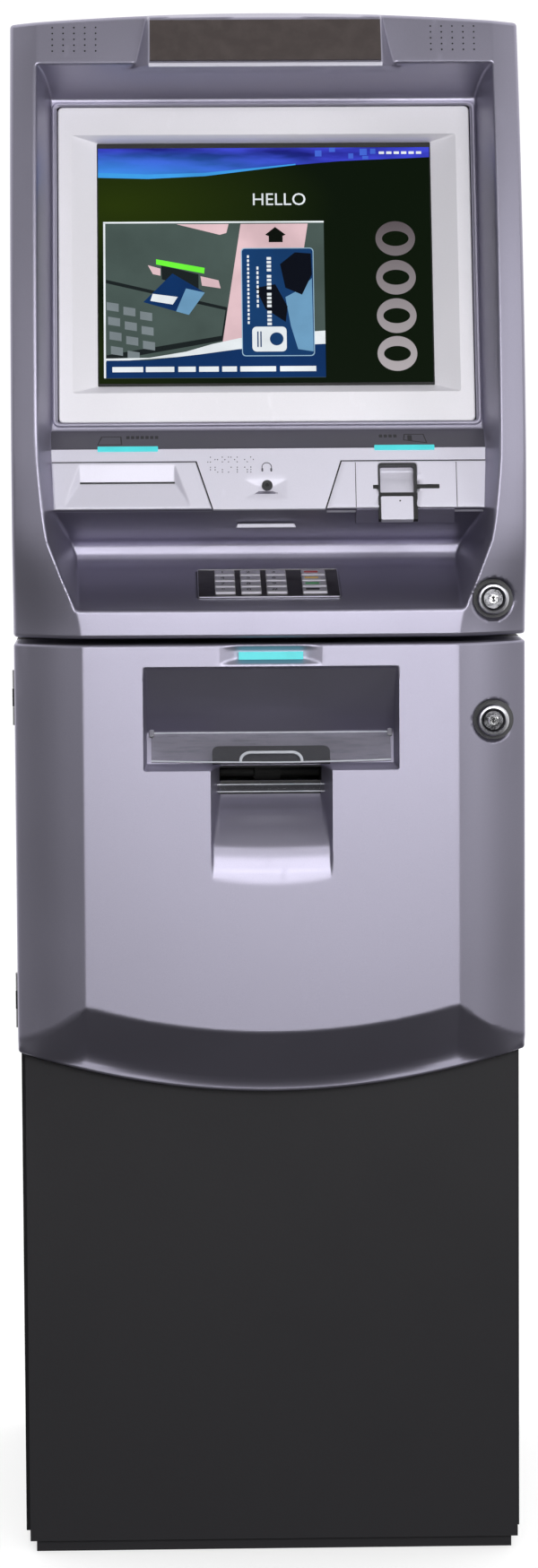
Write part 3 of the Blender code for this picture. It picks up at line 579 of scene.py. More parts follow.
def softened(height, x, z, radius):
    """The height averaged over a small disc, which rounds every edge by about that radius."""
    total = height(x, z)
    count = 1
    for ring, spokes in ((0.5, 6), (1.0, 10)):
        for spoke in range(spokes):
            angle = math.tau * (spoke + ring) / spokes
            total = total + height(x + ring * radius * math.cos(angle), z + ring * radius * math.sin(angle))
            count += 1
    return total / count


def plan_setback(x, crease=CREASE_X):
    """How far the front lies behind its middle at x, where its flat part ends at crease."""
    ax = np.abs(x)
    across = np.clip((ax - crease) / (HALF - CREASE_X), 0, 1.2)
    middle = CROWN * np.minimum(ax / crease, 1) ** 2
    return middle + (SIDE_SETBACK - CROWN) * (0.55 * across + 0.45 * across ** 2)


def upper_outer(x, z):
    rise = np.clip(z - UPPER_BOTTOM_Z, 0, None)
    lean = ARC_RADIUS - np.sqrt(ARC_RADIUS ** 2 - rise ** 2)
    points = [(CREASE_X, UPPER_BOTTOM_Z), (0.1725, SHELF_FRONT[1]), (0.1975, 0.930), (0.2062, 1.0)]
    creases = [along(points, z + reach) for reach in np.linspace(-0.018, 0.018, 9)]
    return FRONT_Y + lean + plan_setback(x, sum(creases) / len(creases))


def screen_line(z):
    return SCREEN_CENTRE[0] + (z - SCREEN_CENTRE[1]) * math.tan(SCREEN_TILT)


SIGN_HALF = 0.1046
SIGN_DEPTH = 0.032
CEILING_LOW_Z = 1.328
CEILING_TOP_Z = 1.357
PROFILE = [SHELF_FRONT, (-0.1760, 0.8999), (-0.1690, 0.9030), (-0.1640, 0.9078), (-0.1616, 0.9135),
           (-0.1612, 0.9212), (-0.1640, 0.9255), (-0.1740, 0.9287), CONSOLE_LOW, CONSOLE_HIGH,
           (screen_line(1.027), 1.027), (screen_line(CEILING_LOW_Z), CEILING_LOW_Z)]
EDGE = [(0.1735, 0.866), (0.1760, 0.876), (0.1860, 0.900), (0.1975, 0.930), (0.2030, 0.960), (0.2060, 1.000)]
FLOOR = [(0.1690, 0.866), (0.1715, 0.875), (0.1760, 0.9115), (0.1925, 0.957), (0.1955, 1.011)]


def along(points, z):
    """Reads a (value, z) outline at z."""
    return np.interp(z, [p[1] for p in points], [p[0] for p in points])


def upper_height(x, z):
    """The upper fascia's front: outer skin, recess with drafted walls, sign box and lock dish."""
    ax = np.abs(x)
    outer = upper_outer(x, z)
    floor = along(PROFILE, z)
    rise = np.clip((z - CEILING_LOW_Z) / (CEILING_TOP_Z - CEILING_LOW_Z), 0, 1)
    edge, inner = along(EDGE, z), along(FLOOR, z)
    depth = np.clip((edge - ax) / (edge - inner), 0, 1)
    depth = np.minimum(depth * (0.62 + 0.38 * depth), 1 - rise ** 1.7)
    recess = outer + (floor - outer) * depth
    inside = (z > SHELF_FRONT[1]) & (z < CEILING_TOP_Z) & (ax < edge)
    y = np.where(inside, np.maximum(outer, recess), outer)
    sign_face = SIGN_LOW[0] + (z - SIGN_LOW[1]) * (SIGN_HIGH[0] - SIGN_LOW[0]) / (SIGN_HIGH[1] - SIGN_LOW[1])
    flank = SIGN_DEPTH / (0.0014 + 0.24 * np.clip(SIGN_HIGH[1] - z, 0, None))
    sign = sign_face + np.clip(ax - SIGN_HALF, 0, None) * flank
    sign = np.where((z > SIGN_LOW[1]) & (z < SIGN_HIGH[1]), sign, 1.0)
    y = np.minimum(y, sign)
    y = y + jack_pad(x, (z - 0.9670) / 0.0060, (0.9840 - z) / 0.0055)
    return lock_well(x, z, y, UPPER_LOCK_Z)


def jack_pad(x, from_below, from_above):
    """Depth of the tapered pad round the headphone jack; the last two are shares of its own slopes."""
    share = np.minimum.reduce([(x + 0.0215) / 0.0120, (0.0165 - x) / 0.0120, from_below, from_above])
    return JACK_PAD_DEPTH * np.clip(share, 0, 1)


def lock_well(x, z, front, lock_z):
    """The front with the flat-bottomed well that a lock's ring stands in."""
    distance = np.sqrt((x - LOCK_X) ** 2 + (z - lock_z) ** 2)
    return np.where(distance < LOCK_WELL_RADIUS, np.maximum(front, LOCK_WELL_Y), front)


CHIN_Y = -0.258
POCKET_HALF = 0.1128
CHUTE_HALF = 0.0535
LAMP_DISH_HALF = 0.0462
LAMP_DISH_DEPTH = 0.0042
POCKET_PROFILE = [(-0.2655, 0.7265), (-0.2655, 0.757), (-0.3060, 0.817)]
CHUTE_PROFILE = [(-0.3102, 0.6235), (-0.3088, 0.6360), (-0.3056, 0.6480), (-0.3015, 0.6585), (-0.2655, 0.700),
                 (-0.2655, 0.73)]


def chin_bottom(x):
    return 0.428 + 0.038 * (x / HALF) ** 2


def chin_crease(x):
    ax = np.abs(x)
    crease = 0.489 + 0.023 * np.minimum(ax / CREASE_X, 1) ** 2
    side = np.clip((ax - CREASE_X) / (HALF - CREASE_X), 0, 1)
    return (1 - side) * crease + side * (chin_bottom(x) + 0.012)


def lower_height(x, z):
    """The lower fascia's front: flat middle, sides, chin, cash pocket, chute, lamp dimple and lock dish."""
    ax = np.abs(x)
    outer = FRONT_Y + plan_setback(x)
    below = np.clip(chin_crease(x) - z, 0, None)
    outer = np.maximum(outer, np.minimum(outer + below * 0.95, CHIN_Y))
    dimple = np.minimum.reduce([(LAMP_DISH_HALF - ax) / 0.0165, (z - 0.8200) / 0.0048, (0.8392 - z) / 0.0062])
    outer = outer + LAMP_DISH_DEPTH * np.clip(dimple, 0, 1)
    pocket = np.where((ax < POCKET_HALF) & (z > 0.7265) & (z < 0.817), along(POCKET_PROFILE, z), -1)
    crease_drop = 0.0016 * (1 - (ax / CHUTE_HALF) ** 2)
    back = along(CHUTE_PROFILE, z + crease_drop * (z < 0.68))
    corner = np.interp(z, (0.655, 0.703), (0.0006, 0.0085))
    side = np.clip((CHUTE_HALF - ax) / corner, 0, 1)
    back = outer + (back - outer) * side ** 0.6
    chute = np.where((ax < CHUTE_HALF) & (z > 0.6215) & (z < 0.729), back, -1)
    return lock_well(x, z, np.maximum(np.maximum(outer, pocket), chute), LOWER_LOCK_Z)


def moulded_front(name, columns, rows, height, top, bottom, rear_y, holes, radius, lip):
    """A shell from a height map: front, side, top and bottom walls, and openings left out of the front.

    top(x) and bottom(x) move the end rows, and lip is how far from the ends that move fades in.
    """
    x, s = np.meshgrid(columns, rows, indexing="ij")
    low, high = rows[0], rows[-1]
    near_top = np.clip((s - (high - lip)) / lip, 0, 1)
    near_bottom = np.clip(((low + lip) - s) / lip, 0, 1)
    z = s + (top(x) - high) * near_top + (bottom(x) - low) * near_bottom
    y = softened(height, x, z, radius)
    shape = bmesh.new()
    grid = [[shape.verts.new(point) for point in zip(*line)] for line in zip(x, y, z)]
    weight = shape.edges.layers.float.new("bevel_weight_edge")

    def kept(i, j):
        mx, mz = (columns[i] + columns[i + 1]) / 2, (rows[j] + rows[j + 1]) / 2
        return not any(x0 < mx < x1 and z0 < mz < z1 for x0, x1, z0, z1 in holes)

    grid_faces(shape, grid, kept)
    rim, rear = grid_walls(shape, grid, lambda co: (co.x, rear_y, co.z))
    corners = (grid[0][0], grid[-1][0], grid[0][-1], grid[-1][-1])
    for i, vert in enumerate(rim):
        shape.edges.get((vert, rim[i - 1]))[weight] = 1.0
        if vert in corners:
            shape.edges.get((vert, rear[i]))[weight] = 1.0
    return made_mesh(shape, name)


LOWER_EDGE_RADIUS = 0.0009
UPPER_LIP = 0.036
LOWER_LIP = 0.08
KNUCKLE_HEIGHT = 0.0165
KNUCKLE_CHAMFER = 0.0004
FRONT_WALL = 0.0026


def hinge_knuckles(name, body, axis, radius, starts):
    """A front's own knuckles, one at each hinge."""
    flat = radius - KNUCKLE_CHAMFER
    profile = [(0, 0), (flat, 0), (radius, KNUCKLE_CHAMFER), (radius, KNUCKLE_HEIGHT - KNUCKLE_CHAMFER),
               (flat, KNUCKLE_HEIGHT), (0, KNUCKLE_HEIGHT)]
    turned = [turned_mesh(profile, Matrix.Translation((*axis, low)), 32) for low in starts]
    return finish_mesh(name, joined(turned), body, "hinge_steel")


def rounded_rim(piece, width):
    """Rounds the outer rim and gives the shell its wall."""
    bevel = piece.modifiers.new("rim", "BEVEL")
    bevel.width = width
    bevel.segments = 4
    bevel.limit_method = "WEIGHT"
    thick = piece.modifiers.new("wall", "SOLIDIFY")
    thick.thickness = FRONT_WALL
    thick.offset = -1
    return piece


# ---------------------------------------------------------------- settings
def colour_setting(name, description, default):
    return FloatVectorProperty(name=name, description=description, subtype="COLOR", default=default)


def number_setting(name, description, default, lowest=0.0, **extra):
    return FloatProperty(name=name, description=description, default=default, min=lowest, **extra)


class PaintSettings(PropertyGroup):
    """Colours of the finishes."""

    silver: colour_setting("Fascia paint", "Fine silver paint of both fascias", (0.330, 0.316, 0.395))
    pale: colour_setting("Pale paint", "Lighter paint of the console plates", (0.64, 0.625, 0.715))
    bezel: colour_setting("Bezel paint", "Near-white paint of the display's bezel", (0.76, 0.745, 0.79))
    label: colour_setting("Label strip", "Dark strip that carries the pictograms", (0.110, 0.105, 0.130))
    black: colour_setting("Steel coat", "Powder coat of the safe and cabinet", (0.0125, 0.012, 0.0145))
    lamp: colour_setting("Lamp", "Colour of the lit lenses", (0.085, 0.745, 0.790))
    lamp_strength: number_setting("Lamp strength", "Brightness of the lit lenses", 0.82)


class FasciaSettings(PropertyGroup):
    """Shape of the moulded fronts."""

    edge_radius: number_setting("Edge radius", "Rounding of moulded edges inside the upper front", 0.0012,
                                0.0002, subtype="DISTANCE", unit="LENGTH")
    rim_width: number_setting("Rim width", "Rounding of the fronts' outer rim", 0.0035,
                              0.0005, subtype="DISTANCE", unit="LENGTH")


class StageSettings(PropertyGroup):
    """Floor, light and camera."""

    floor_colour: colour_setting("Floor", "Colour of the floor", (0.46, 0.46, 0.46))
    floor_glow: number_setting("Floor glow", "Light of the floor's own, which keeps shadows faint", 0.60)
    world_front: number_setting("Front surround", "Brightness of the surround in front", 0.09)
    world_back: number_setting("Back surround", "Brightness of the surround behind", 1.5)
    key_power: number_setting("Main light", "Power of the large light in front", 43)
    lens: number_setting("Lens", "Focal length in millimetres", 105.7, 1)


class CASH_PG_settings(PropertyGroup):
    """All settings of the cash machine."""

    paint: PointerProperty(type=PaintSettings)
    fascia: PointerProperty(type=FasciaSettings)
    stage: PointerProperty(type=StageSettings)


def settings():
    return bpy.context.scene.cash_machine


PICTURE_COLOURS = {
    "picture_white": (236, 242, 246), "picture_cyan": (66, 160, 236), "picture_square": (70, 104, 214),
    "picture_machine": (74, 88, 84), "picture_shadow": (30, 37, 38), "picture_pink": (226, 192, 198),
    "picture_key": (124, 134, 138), "picture_green": (112, 250, 62), "picture_navy": (16, 52, 100),
    "picture_card": (24, 62, 108), "picture_card_light": (112, 160, 196), "picture_card_dark": (10, 16, 28),
    "picture_arrow": (12, 20, 12), "picture_card_edge": (150, 184, 208),
}

_finishes = {}


def even_tint(rgb):
    """A display colour with the slight unevenness of a lit panel."""
    colour = display_colour(*rgb)
    return lambda r: r.mix(r.ramp(r.noise(22, 3), 0.3, 0.7), shade(colour, 0.86), shade(colour, 1.12))


def ground_tint(r):
    """Near-black green with an olive glow at the left."""
    glow = r.spot(-0.135, 1.232, 0.20, 0.075) * 0.9 + r.spot(-0.150, 1.090, 0.12, 0.060) * 0.4
    return r.mix(glow, display_colour(11, 24, 4), display_colour(44, 58, 6))


def wave_tint(r):
    """Silky blue waves that turn to cyan low at the left."""
    silk = r.ramp(r.noise(16, 3, 0.5, (1.0, 1.0, 6.0)), 0.35, 0.68)
    blue = r.mix(silk, display_colour(28, 26, 118), display_colour(66, 74, 214))
    low = r.ramp(r.axis("Z"), 1.2835, 1.2570) * r.ramp(r.axis("X"), 0.06, -0.14)
    return r.mix(low, blue, display_colour(64, 150, 238))


def ring_tint(r):
    """Greys that grow lighter downwards."""
    return r.mix(r.ramp(r.axis("Z"), 1.215, 1.080), display_colour(92, 84, 88), display_colour(178, 171, 174))


def finish_recipes():
    """What makes each finish: a function and what it is given."""
    paint = settings().paint
    across = (1.0, 14.0, 14.0)
    recipes = {
        "silver": (metallic_paint, "silver_paint", paint.silver),
        "pale": (metallic_paint, "pale_paint", paint.pale, 0.55, 0.35, 0.7),
        "bezel": (metallic_paint, "bezel_paint", paint.bezel, 0.45, 0.15, 0.6),
        "label": (metallic_paint, "label_strip_paint", paint.label, 0.45, 0.5, 0.6),
        "black": (powder_coat, "black_powder_coat", paint.black),
        "grey_steel": (powder_coat, "grey_powder_coat", (0.30, 0.31, 0.32), 0.42),
        "hinge_steel": (brushed_metal, "hinge_steel", (0.42, 0.42, 0.43), 0.34),
        "bright": (chrome, "bright_chrome"),
        "barrel": (chrome, "dark_chrome", (0.30, 0.30, 0.32)),
        "ring": (brushed_metal, "lock_ring_steel", (0.55, 0.55, 0.58), 0.34),
        "key": (brushed_metal, "key_steel", (0.62, 0.61, 0.64), 0.36, across, 0.75),
        "plate": (brushed_metal, "keypad_plate_steel", (0.060, 0.056, 0.052), 0.42, across),
        "dark": (moulded_plastic, "dark_plastic", (0.022, 0.022, 0.025)),
        "void": (moulded_plastic, "throat_plastic", (0.004, 0.004, 0.005), 0.6),
        "rubber": (rubber, "roller_rubber", (0.035, 0.035, 0.035)),
        "paper": (paper, "receipt_paper", (0.80, 0.80, 0.77)),
        "clear": (clear_plastic, "clear_plastic", (0.075, 0.075, 0.09), 0.30),
        # Pale frosted plastic; its strips along clear edges are painted highlights.
        "frost": (clear_plastic, "frosted_plastic", (0.62, 0.64, 0.70), 0.72),
        "smoke": (clear_plastic, "smoked_plastic", (0.012, 0.012, 0.015), 0.80),
        "lamp": (lamp_lens, "lamp_lens", paint.lamp, paint.lamp_strength),
        "sign": (smoked_gloss, "sign_acrylic", (0.062, 0.050, 0.048)),
        "ink": (moulded_plastic, "label_ink", (0.012, 0.012, 0.014), 0.5),
        "mark_red": (moulded_plastic, "red_mark", (0.42, 0.045, 0.040), 0.5),
        "mark_yellow": (moulded_plastic, "yellow_mark", (0.62, 0.40, 0.10), 0.5),
        "mark_green": (moulded_plastic, "green_mark", (0.06, 0.30, 0.10), 0.5),
        "picture_ground": (lit_picture, "picture_ground", ground_tint),
        "picture_wave": (lit_picture, "picture_wave", wave_tint),
        "picture_rings": (lit_picture, "picture_rings", ring_tint),
    }
    for picture, rgb in PICTURE_COLOURS.items():
        recipes[picture] = (lit_picture, picture, even_tint(rgb))
    return recipes


def finish(name):
    """Each finish is made once and shared."""
    if name not in _finishes:
        maker, *given = finish_recipes()[name]
        _finishes[name] = maker(*given)
    return _finishes[name]


def repaint(node, name):
    """Gives a CAD node that stays as it is a finish of its own."""
    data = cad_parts[node].data
    data.materials.clear()
    data.materials.append(finish(name))


# ---------------------------------------------------------------- operators
class CASH_OT_stage(Operator):
    """Build the floor, the soft lights and the camera"""

    bl_idname = "cash.stage"
    bl_label = "Stage"

    FLOOR_SIZE = 60
    SEEN_BACKGROUND = 1.05
    LIGHTS = (  # name, place, aim, size, share of the power setting
        ("front_light", (0.4, -4.8, 1.90), (0, -0.2, 0.95), (3.0, 2.2), 4.0),
        ("left_light", (-3.0, -2.4, 1.6), (0, -0.2, 0.9), (1.0, 2.2), 0.24),
        ("right_light", (3.0, -2.0, 1.6), (0, -0.2, 0.9), (1.0, 2.4), 0.64),
    )
    CAMERA_PLACE = (-0.0981, -4.4007, 1.0787)
    CAMERA_ANGLES = (1.340, 5.105, -0.345)  # yaw to the right, tilt down, roll, in degrees

    def execute(self, context):
        self.make_floor()
        self.make_surround(context)
        self.make_lights(context)
        self.make_camera(context)
        return {"FINISHED"}

    def make_floor(self):
        mesh = bpy.data.meshes.new("floor")
        shape = bmesh.new()
        bmesh.ops.create_grid(shape, x_segments=1, y_segments=1, size=self.FLOOR_SIZE)
        shape.to_mesh(mesh)
        shape.free()
        floor = bpy.data.objects.new("floor", mesh)
        bpy.context.scene.collection.objects.link(floor)
        r = Recipe(bpy.data.materials.new("floor_paint"))
        colour = tuple(settings().stage.floor_colour)
        r.set(Base_Color=r.mix(r.noise(3), shade(colour, 0.98), shade(colour, 1.0)), Roughness=0.8,
              Emission_Color=WHITE, Emission_Strength=settings().stage.floor_glow)
        mesh.materials.append(r.material)
        floor.visible_glossy = False
        floor.visible_diffuse = False

    def make_surround(self, context):
        """Dark in front, where the paint would mirror it, and bright behind; white to the camera."""
        stage = settings().stage
        world = bpy.data.worlds.new("surround")
        r = Recipe(world, "Background")
        direction = r.node("ShaderNodeTexCoord", output="Generated")
        towards_back = r.node("ShaderNodeSeparateXYZ", None, {0: direction}, "Y")
        up = r.node("ShaderNodeSeparateXYZ", None, {0: direction}, "Z")
        level = r.ramp(towards_back + up * 0.5, -0.05, 0.50, stage.world_front, stage.world_back)
        seen = r.node("ShaderNodeLightPath", output="Is Camera Ray")
        level = level * (1.0 - seen) + self.SEEN_BACKGROUND * seen
        grey = r.node("ShaderNodeCombineColor", None, {0: level, 1: level, 2: level})
        r.set(Color=grey, Strength=1.0)
        context.scene.world = world
        context.scene.view_settings.view_transform = "Standard"

    def make_lights(self, context):
        for name, place, aim, size, share in self.LIGHTS:
            light = bpy.data.lights.new(name, "AREA")
            light.shape = "RECTANGLE"
            light.size, light.size_y = size
            light.energy = settings().stage.key_power * share
            lamp = bpy.data.objects.new(name, light)
            lamp.location = place
            lamp.rotation_euler = (Vector(aim) - Vector(place)).to_track_quat("-Z", "Y").to_euler()
            context.scene.collection.objects.link(lamp)

    def make_camera(self, context):
        data = bpy.data.cameras.new("camera")
        data.lens = settings().stage.lens
        data.sensor_width = 36
        camera = bpy.data.objects.new("camera", data)
        yaw, tilt, roll = map(math.radians, self.CAMERA_ANGLES)
        forward = Vector((math.sin(yaw) * math.cos(tilt), math.cos(yaw) * math.cos(tilt), -math.sin(tilt)))
        right = Vector((math.cos(yaw), -math.sin(yaw), 0))
        up = right.cross(forward)
        right, up = right * math.cos(roll) + up * math.sin(roll), up * math.cos(roll) - right * math.sin(roll)
        turn = Matrix((right, up, -forward)).transposed().to_4x4()
        camera.matrix_world = Matrix.Translation(self.CAMERA_PLACE) @ turn
        context.scene.collection.objects.link(camera)
        context.scene.camera = camera


class CASH_OT_upper_fascia(Operator):
    """Build the moulded upper front with its recess, sign box and lock dish"""

    bl_idname = "cash.upper_fascia"
    bl_label = "Upper fascia"

    def execute(self, context):
        columns = lines_between(*spans_from(-HALF, (-0.2255, 0.0045), (-0.2072, 0.003), (-0.1655, 0.0011),
                                            (-0.0225, 0.0045), (0.0175, 0.0022), (0.1655, 0.0045),
                                            (0.2072, 0.0011), (0.2195, 0.0011), (0.2255, 0.003),
                                            (HALF, 0.0045)),
                                (0.1020, 0.1190, 0.0009), (-0.1190, -0.1020, 0.0009))
        rows = lines_between(*spans_from(
            UPPER_BOTTOM_Z, (0.8485, 0.005), (0.856, 0.002), (0.897, 0.0011), (0.930, 0.0014), (0.9545, 0.003),
            (0.9600, 0.0008), (0.987, 0.0018), (1.008, 0.004), (1.0140, 0.0008), (1.024, 0.002), (1.030, 0.001),
            (1.322, 0.010), (1.360, 0.0011), (1.3965, 0.0022), (1.3985, 0.001), (TOP_Z, 0.0045)))
        window, pad, slot_inner, slot_outer = 0.1891, 0.0641, 0.0680, 0.1890
        opening_low, opening_high = ((SCREEN @ Vector((0, v, 0))).z for v in (-0.1496, 0.1526))
        pad_low, pad_high = ((SHELF @ Vector((0, v, 0))).z for v in (-0.0434, 0.0434))
        slots_low, slots_high = 0.9615, 0.9970
        columns = with_lines(columns, -window, window, -pad, pad, -slot_inner, slot_inner)
        rows = with_lines(rows, opening_low, opening_high, pad_low, pad_high, slots_low, slots_high)
        holes = ((-window, window, opening_low, opening_high), (-pad, pad, pad_low, pad_high),
                 (-slot_outer, -slot_inner, slots_low, slots_high),
                 (slot_inner, slot_outer, slots_low, slots_high))
        fascia = settings().fascia

        def top(x):
            return TOP_Z - TOP_ARCH * (x / HALF) ** 2

        def bottom(x):
            return np.full_like(x, UPPER_BOTTOM_Z)

        mesh = moulded_front("upper_front", columns, rows, upper_height, top, bottom, UPPER_HIGH.y, holes,
                             fascia.edge_radius, UPPER_LIP)
        piece = finish_mesh("upper_front", mesh, "upper_fascia", "silver", 60)
        rounded_rim(piece, fascia.rim_width)
        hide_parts("upper_fascia")
        hinge_knuckles("upper_front_knuckles", "upper_fascia", UPPER_HINGE, 0.005, (0.917, 1.297))
        self.make_speaker_holes()
        self.make_sign_lip()
        return {"FINISHED"}

    def make_sign_lip(self):
        """The bright moulded lip under the sign panel."""
        plate("sign_lip", "upper_fascia", "pale", [rectangle((-0.1046, -0.0262), (0.1046, -0.0222), 0.0006)],
              (-0.0012, 0.0008), SIGN, 0.0008)

    def make_speaker_holes(self):
        """Five by five small holes in front of each speaker."""
        for word, first in (("left", -0.1915), ("right", 0.1505)):
            discs = []
            for column in range(5):
                for row in range(5):
                    x, z = first + column * 0.0098, 1.3688 + row * 0.0054
                    y = float(upper_outer(np.array(x), np.array(z)))
                    lean = math.atan2(z - UPPER_BOTTOM_Z, ARC_RADIUS)
                    place = Matrix.Translation((x, 0, 0)) @ leaning((y, z), lean)
                    discs.append(turned_mesh([(0.0008, -0.001), (0.0008, 0.0002), (0, 0.0002)], place, 12))
            finish_mesh(f"speaker_holes_{word}", joined(discs), "upper_fascia", "void")


class CASH_OT_lower_fascia(Operator):
    """Build the moulded lower front with its cash pocket, chute and chin"""

    bl_idname = "cash.lower_fascia"
    bl_label = "Lower fascia"

    def execute(self, context):
        columns = lines_between(*spans_from(-HALF, (-0.2255, 0.0045), (-0.1725, 0.004), (-0.1655, 0.0012),
                                            (0.1655, 0.005), (0.1725, 0.0012), (0.1800, 0.003),
                                            (0.2195, 0.0011), (0.2255, 0.003), (HALF, 0.0045)),
                                (0.0425, 0.0462, 0.001), (-0.0462, -0.0425, 0.001))
        wall = CHUTE_HALF - 0.0006
        exit_half, exit_low, exit_high = 0.046, 0.7125, 0.7245
        columns = with_lines(columns, *edge_lines(POCKET_HALF, -POCKET_HALF, wall, -wall), -exit_half, exit_half)
        rows = lines_between(*spans_from(0.428, (0.433, 0.005), (0.482, 0.005), (0.520, 0.0015), (0.615, 0.012),
                                         (0.665, 0.0025), (0.720, 0.004), (0.733, 0.004), (0.742, 0.003),
                                         (0.792, 0.0011), (0.812, 0.004), (0.833, 0.0015),
                                         (LOWER_TOP_Z, 0.005)))
        rows = with_lines(rows, *edge_lines(0.7265, 0.817), exit_low, exit_high)
        holes = ((-exit_half, exit_half, exit_low, exit_high),)

        def top(x):
            return np.full_like(x, LOWER_TOP_Z)

        mesh = moulded_front("lower_front", columns, rows, lower_height, top, chin_bottom, LOWER_HIGH.y,
                             holes, LOWER_EDGE_RADIUS, LOWER_LIP)
        piece = finish_mesh("lower_front", mesh, "lower_fascia", "silver", 60)
        rounded_rim(piece, settings().fascia.rim_width)
        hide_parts("lower_fascia")
        hinge_knuckles("lower_front_knuckles", "lower_fascia", LOWER_HINGE, 0.0036, (0.516, 0.794))
        return {"FINISHED"}


PICTURE_LEFT, PICTURE_TOP = -0.152, 0.1165
PICTURE_WIDTH, PICTURE_HEIGHT = 0.304, 0.2247
PICTURE_BACK = -0.0142
PICTURE_LAYER = 0.00009


def outline_at(points):
    """Picture shares, from its top left corner, as places on the screen."""
    return [(PICTURE_LEFT + s * PICTURE_WIDTH, PICTURE_TOP - t * PICTURE_HEIGHT) for s, t in points]


def picture_boxes(boxes, slant=0.0):
    """Small upright boxes (left, top, width, height) in picture shares, whose right side is slant lower."""
    return [outline_at([(s, t), (s + w, t + slant), (s + w, t + h + slant), (s, t + h)])
            for s, t, w, h in boxes]


class CASH_OT_display(Operator):
    """Build the display's frame, its wide bezel and the picture on it"""

    bl_idname = "cash.display"
    bl_label = "Display"

    # Outlines in thousandths of the picture, from its top left corner; later layers lie nearer the viewer.
    WAVE = [(0, 125), (150, 131), (322, 120), (459, 96), (596, 74), (733, 58),
            (870, 51), (1000, 43)]
    WAVE_EDGE = [(0, 104), (150, 112), (322, 106), (459, 87), (596, 69)]
    LAYERS = (
        ("picture_wave", "header", [[(0, 0), *WAVE, (1000, 0)]]),
        ("picture_cyan", "header_edge", [WAVE[:5] + WAVE_EDGE[::-1]]),
        ("picture_machine", "panel", [[(15, 316), (678, 316), (678, 978), (15, 978)]]),
        ("picture_shadow", "panel_lower", [[(22, 560), (160, 606), (385, 680), (372, 820), (22, 905)]]),
        ("picture_machine", "panel_front", [[(22, 575), (160, 618), (380, 692), (368, 800), (22, 880)]]),
        ("picture_pink", "reader_face", [[(428, 326), (630, 326), (616, 446), (555, 830), (370, 830)]]),
        ("picture_pink", "small_display", [[(235, 326), (392, 326), (385, 364), (365, 372)]]),
        ("picture_shadow", "reader_mouth", [[(188, 500), (300, 540), (300, 610), (190, 560)]]),
        ("picture_pink", "reader_glints", [[(148, 500), (186, 515), (186, 545), (163, 538)], [(306, 548),
         (360, 566), (366, 600), (310, 588)]]),
        ("picture_green", "reader_light", [[(173, 475), (318.5, 513), (317, 537), (173, 497)]]),
        ("picture_navy", "inserted_card", [[(222, 536), (318.5, 618), (270, 712), (134, 657)]]),
        ("picture_card_light", "inserted_card_shine", [[(262, 600), (318.5, 618), (270, 712), (232, 697)]]),
        ("picture_white", "inserted_card_mark", [[(162, 622), (237, 636), (222, 668), (155, 652)]]),
        ("picture_white", "sweep", [[(15, 895), (150, 893), (260, 868), (340, 836), (420, 812), (550, 793),
         (678, 782), (678, 850), (15, 910)]]),
        ("picture_navy", "caption_band", [[(22, 904), (150, 903), (300, 880), (420, 858), (550, 845),
         (678, 838), (678, 978), (22, 978)]]),
        ("picture_white", "panel_edges", [[(15, 316), (678, 316), (678, 323), (15, 323)], [(15, 324),
         (21, 324), (21, 978), (15, 978)]]),
        ("picture_arrow", "arrow", [[(531.5, 341), (563, 374), (554, 380), (554, 406), (512, 406), (512, 380),
         (501.5, 374)]]),
        ("picture_card_light", "card_shine", [[(560, 640), (600, 610), (640, 560), (642, 870), (596, 860),
         (575, 760)]]),
        ("picture_card_dark", "card_shapes", [[(545, 500), (590, 450), (638, 455), (640, 545), (610, 630),
         (560, 600)], [(470, 600), (530, 585), (566, 680), (560, 745), (500, 690)]]),
    )
    WORDS = ((0.040, 0.092), (0.140, 0.085), (0.237, 0.052), (0.299, 0.059), (0.368, 0.044), (0.422, 0.107),
             (0.541, 0.108))

    def execute(self, context):
        self.make_bezel()
        self.make_picture()
        self.make_card()
        self.make_rings()
        return {"FINISHED"}

    def make_bezel(self):
        """A frame with a wide slope at the sides, and a raised ridge round it."""

        def rings(steps):
            """From (low corner, high corner, radius, height, inset) steps."""
            return [[(u, v, n) for u, v in rectangle((low[0] + inset, low[1] + inset),
                                                     (high[0] - inset, high[1] - inset), radius)]
                    for low, high, radius, n, inset in steps]

        outer = ((-0.1883, -0.1488), (0.1883, 0.1515))
        window = ((-0.1530, -0.1114), (0.1530, 0.1210))
        steps = ((*outer, 0.0045, -0.0139, 0), (*outer, 0.0045, -0.0014, 0), (*outer, 0.0040, -0.0004, 0.0004),
                 (*outer, 0.0035, 0.0, 0.0012), ((-0.1757, -0.1212), (0.1757, 0.1246), 0.0020, 0.0, 0),
                 ((-0.1750, -0.1208), (0.1750, 0.1243), 0.0020, -0.0004, 0),
                 (*window, 0.0012, -0.0125, 0), (*window, 0.0012, -0.0139, 0))
        bezel = finish_mesh("display_bezel", closed_loft(rings(steps), SCREEN), "upper_fascia", "bezel", 20)
        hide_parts("screen_bezel")
        ridge = ((-0.1938, -0.1530), (0.1938, 0.1556))
        steps = [(*ridge, *step) for step in (
            (0.0060, -0.0020, 0), (0.0060, 0.0010, 0), (0.0055, 0.0018, 0.0009), (0.0048, 0.0018, 0.0024),
            (0.0045, 0.0008, 0.0038), (0.0045, -0.0020, 0.0039))]
        finish_mesh("display_ridge", closed_loft(rings(steps), SCREEN), "upper_fascia", "silver", 20)

    def show(self, name, finish_name, outlines, layer):
        """One coloured layer of the picture; later layers lie nearer the viewer."""
        back = PICTURE_BACK + (layer + 0.1) * PICTURE_LAYER
        flat = [plate_mesh([outline], back, back + 0.8 * PICTURE_LAYER, SCREEN) for outline in outlines]
        return finish_mesh("picture_" + name, joined(flat), "upper_fascia", finish_name, 0)

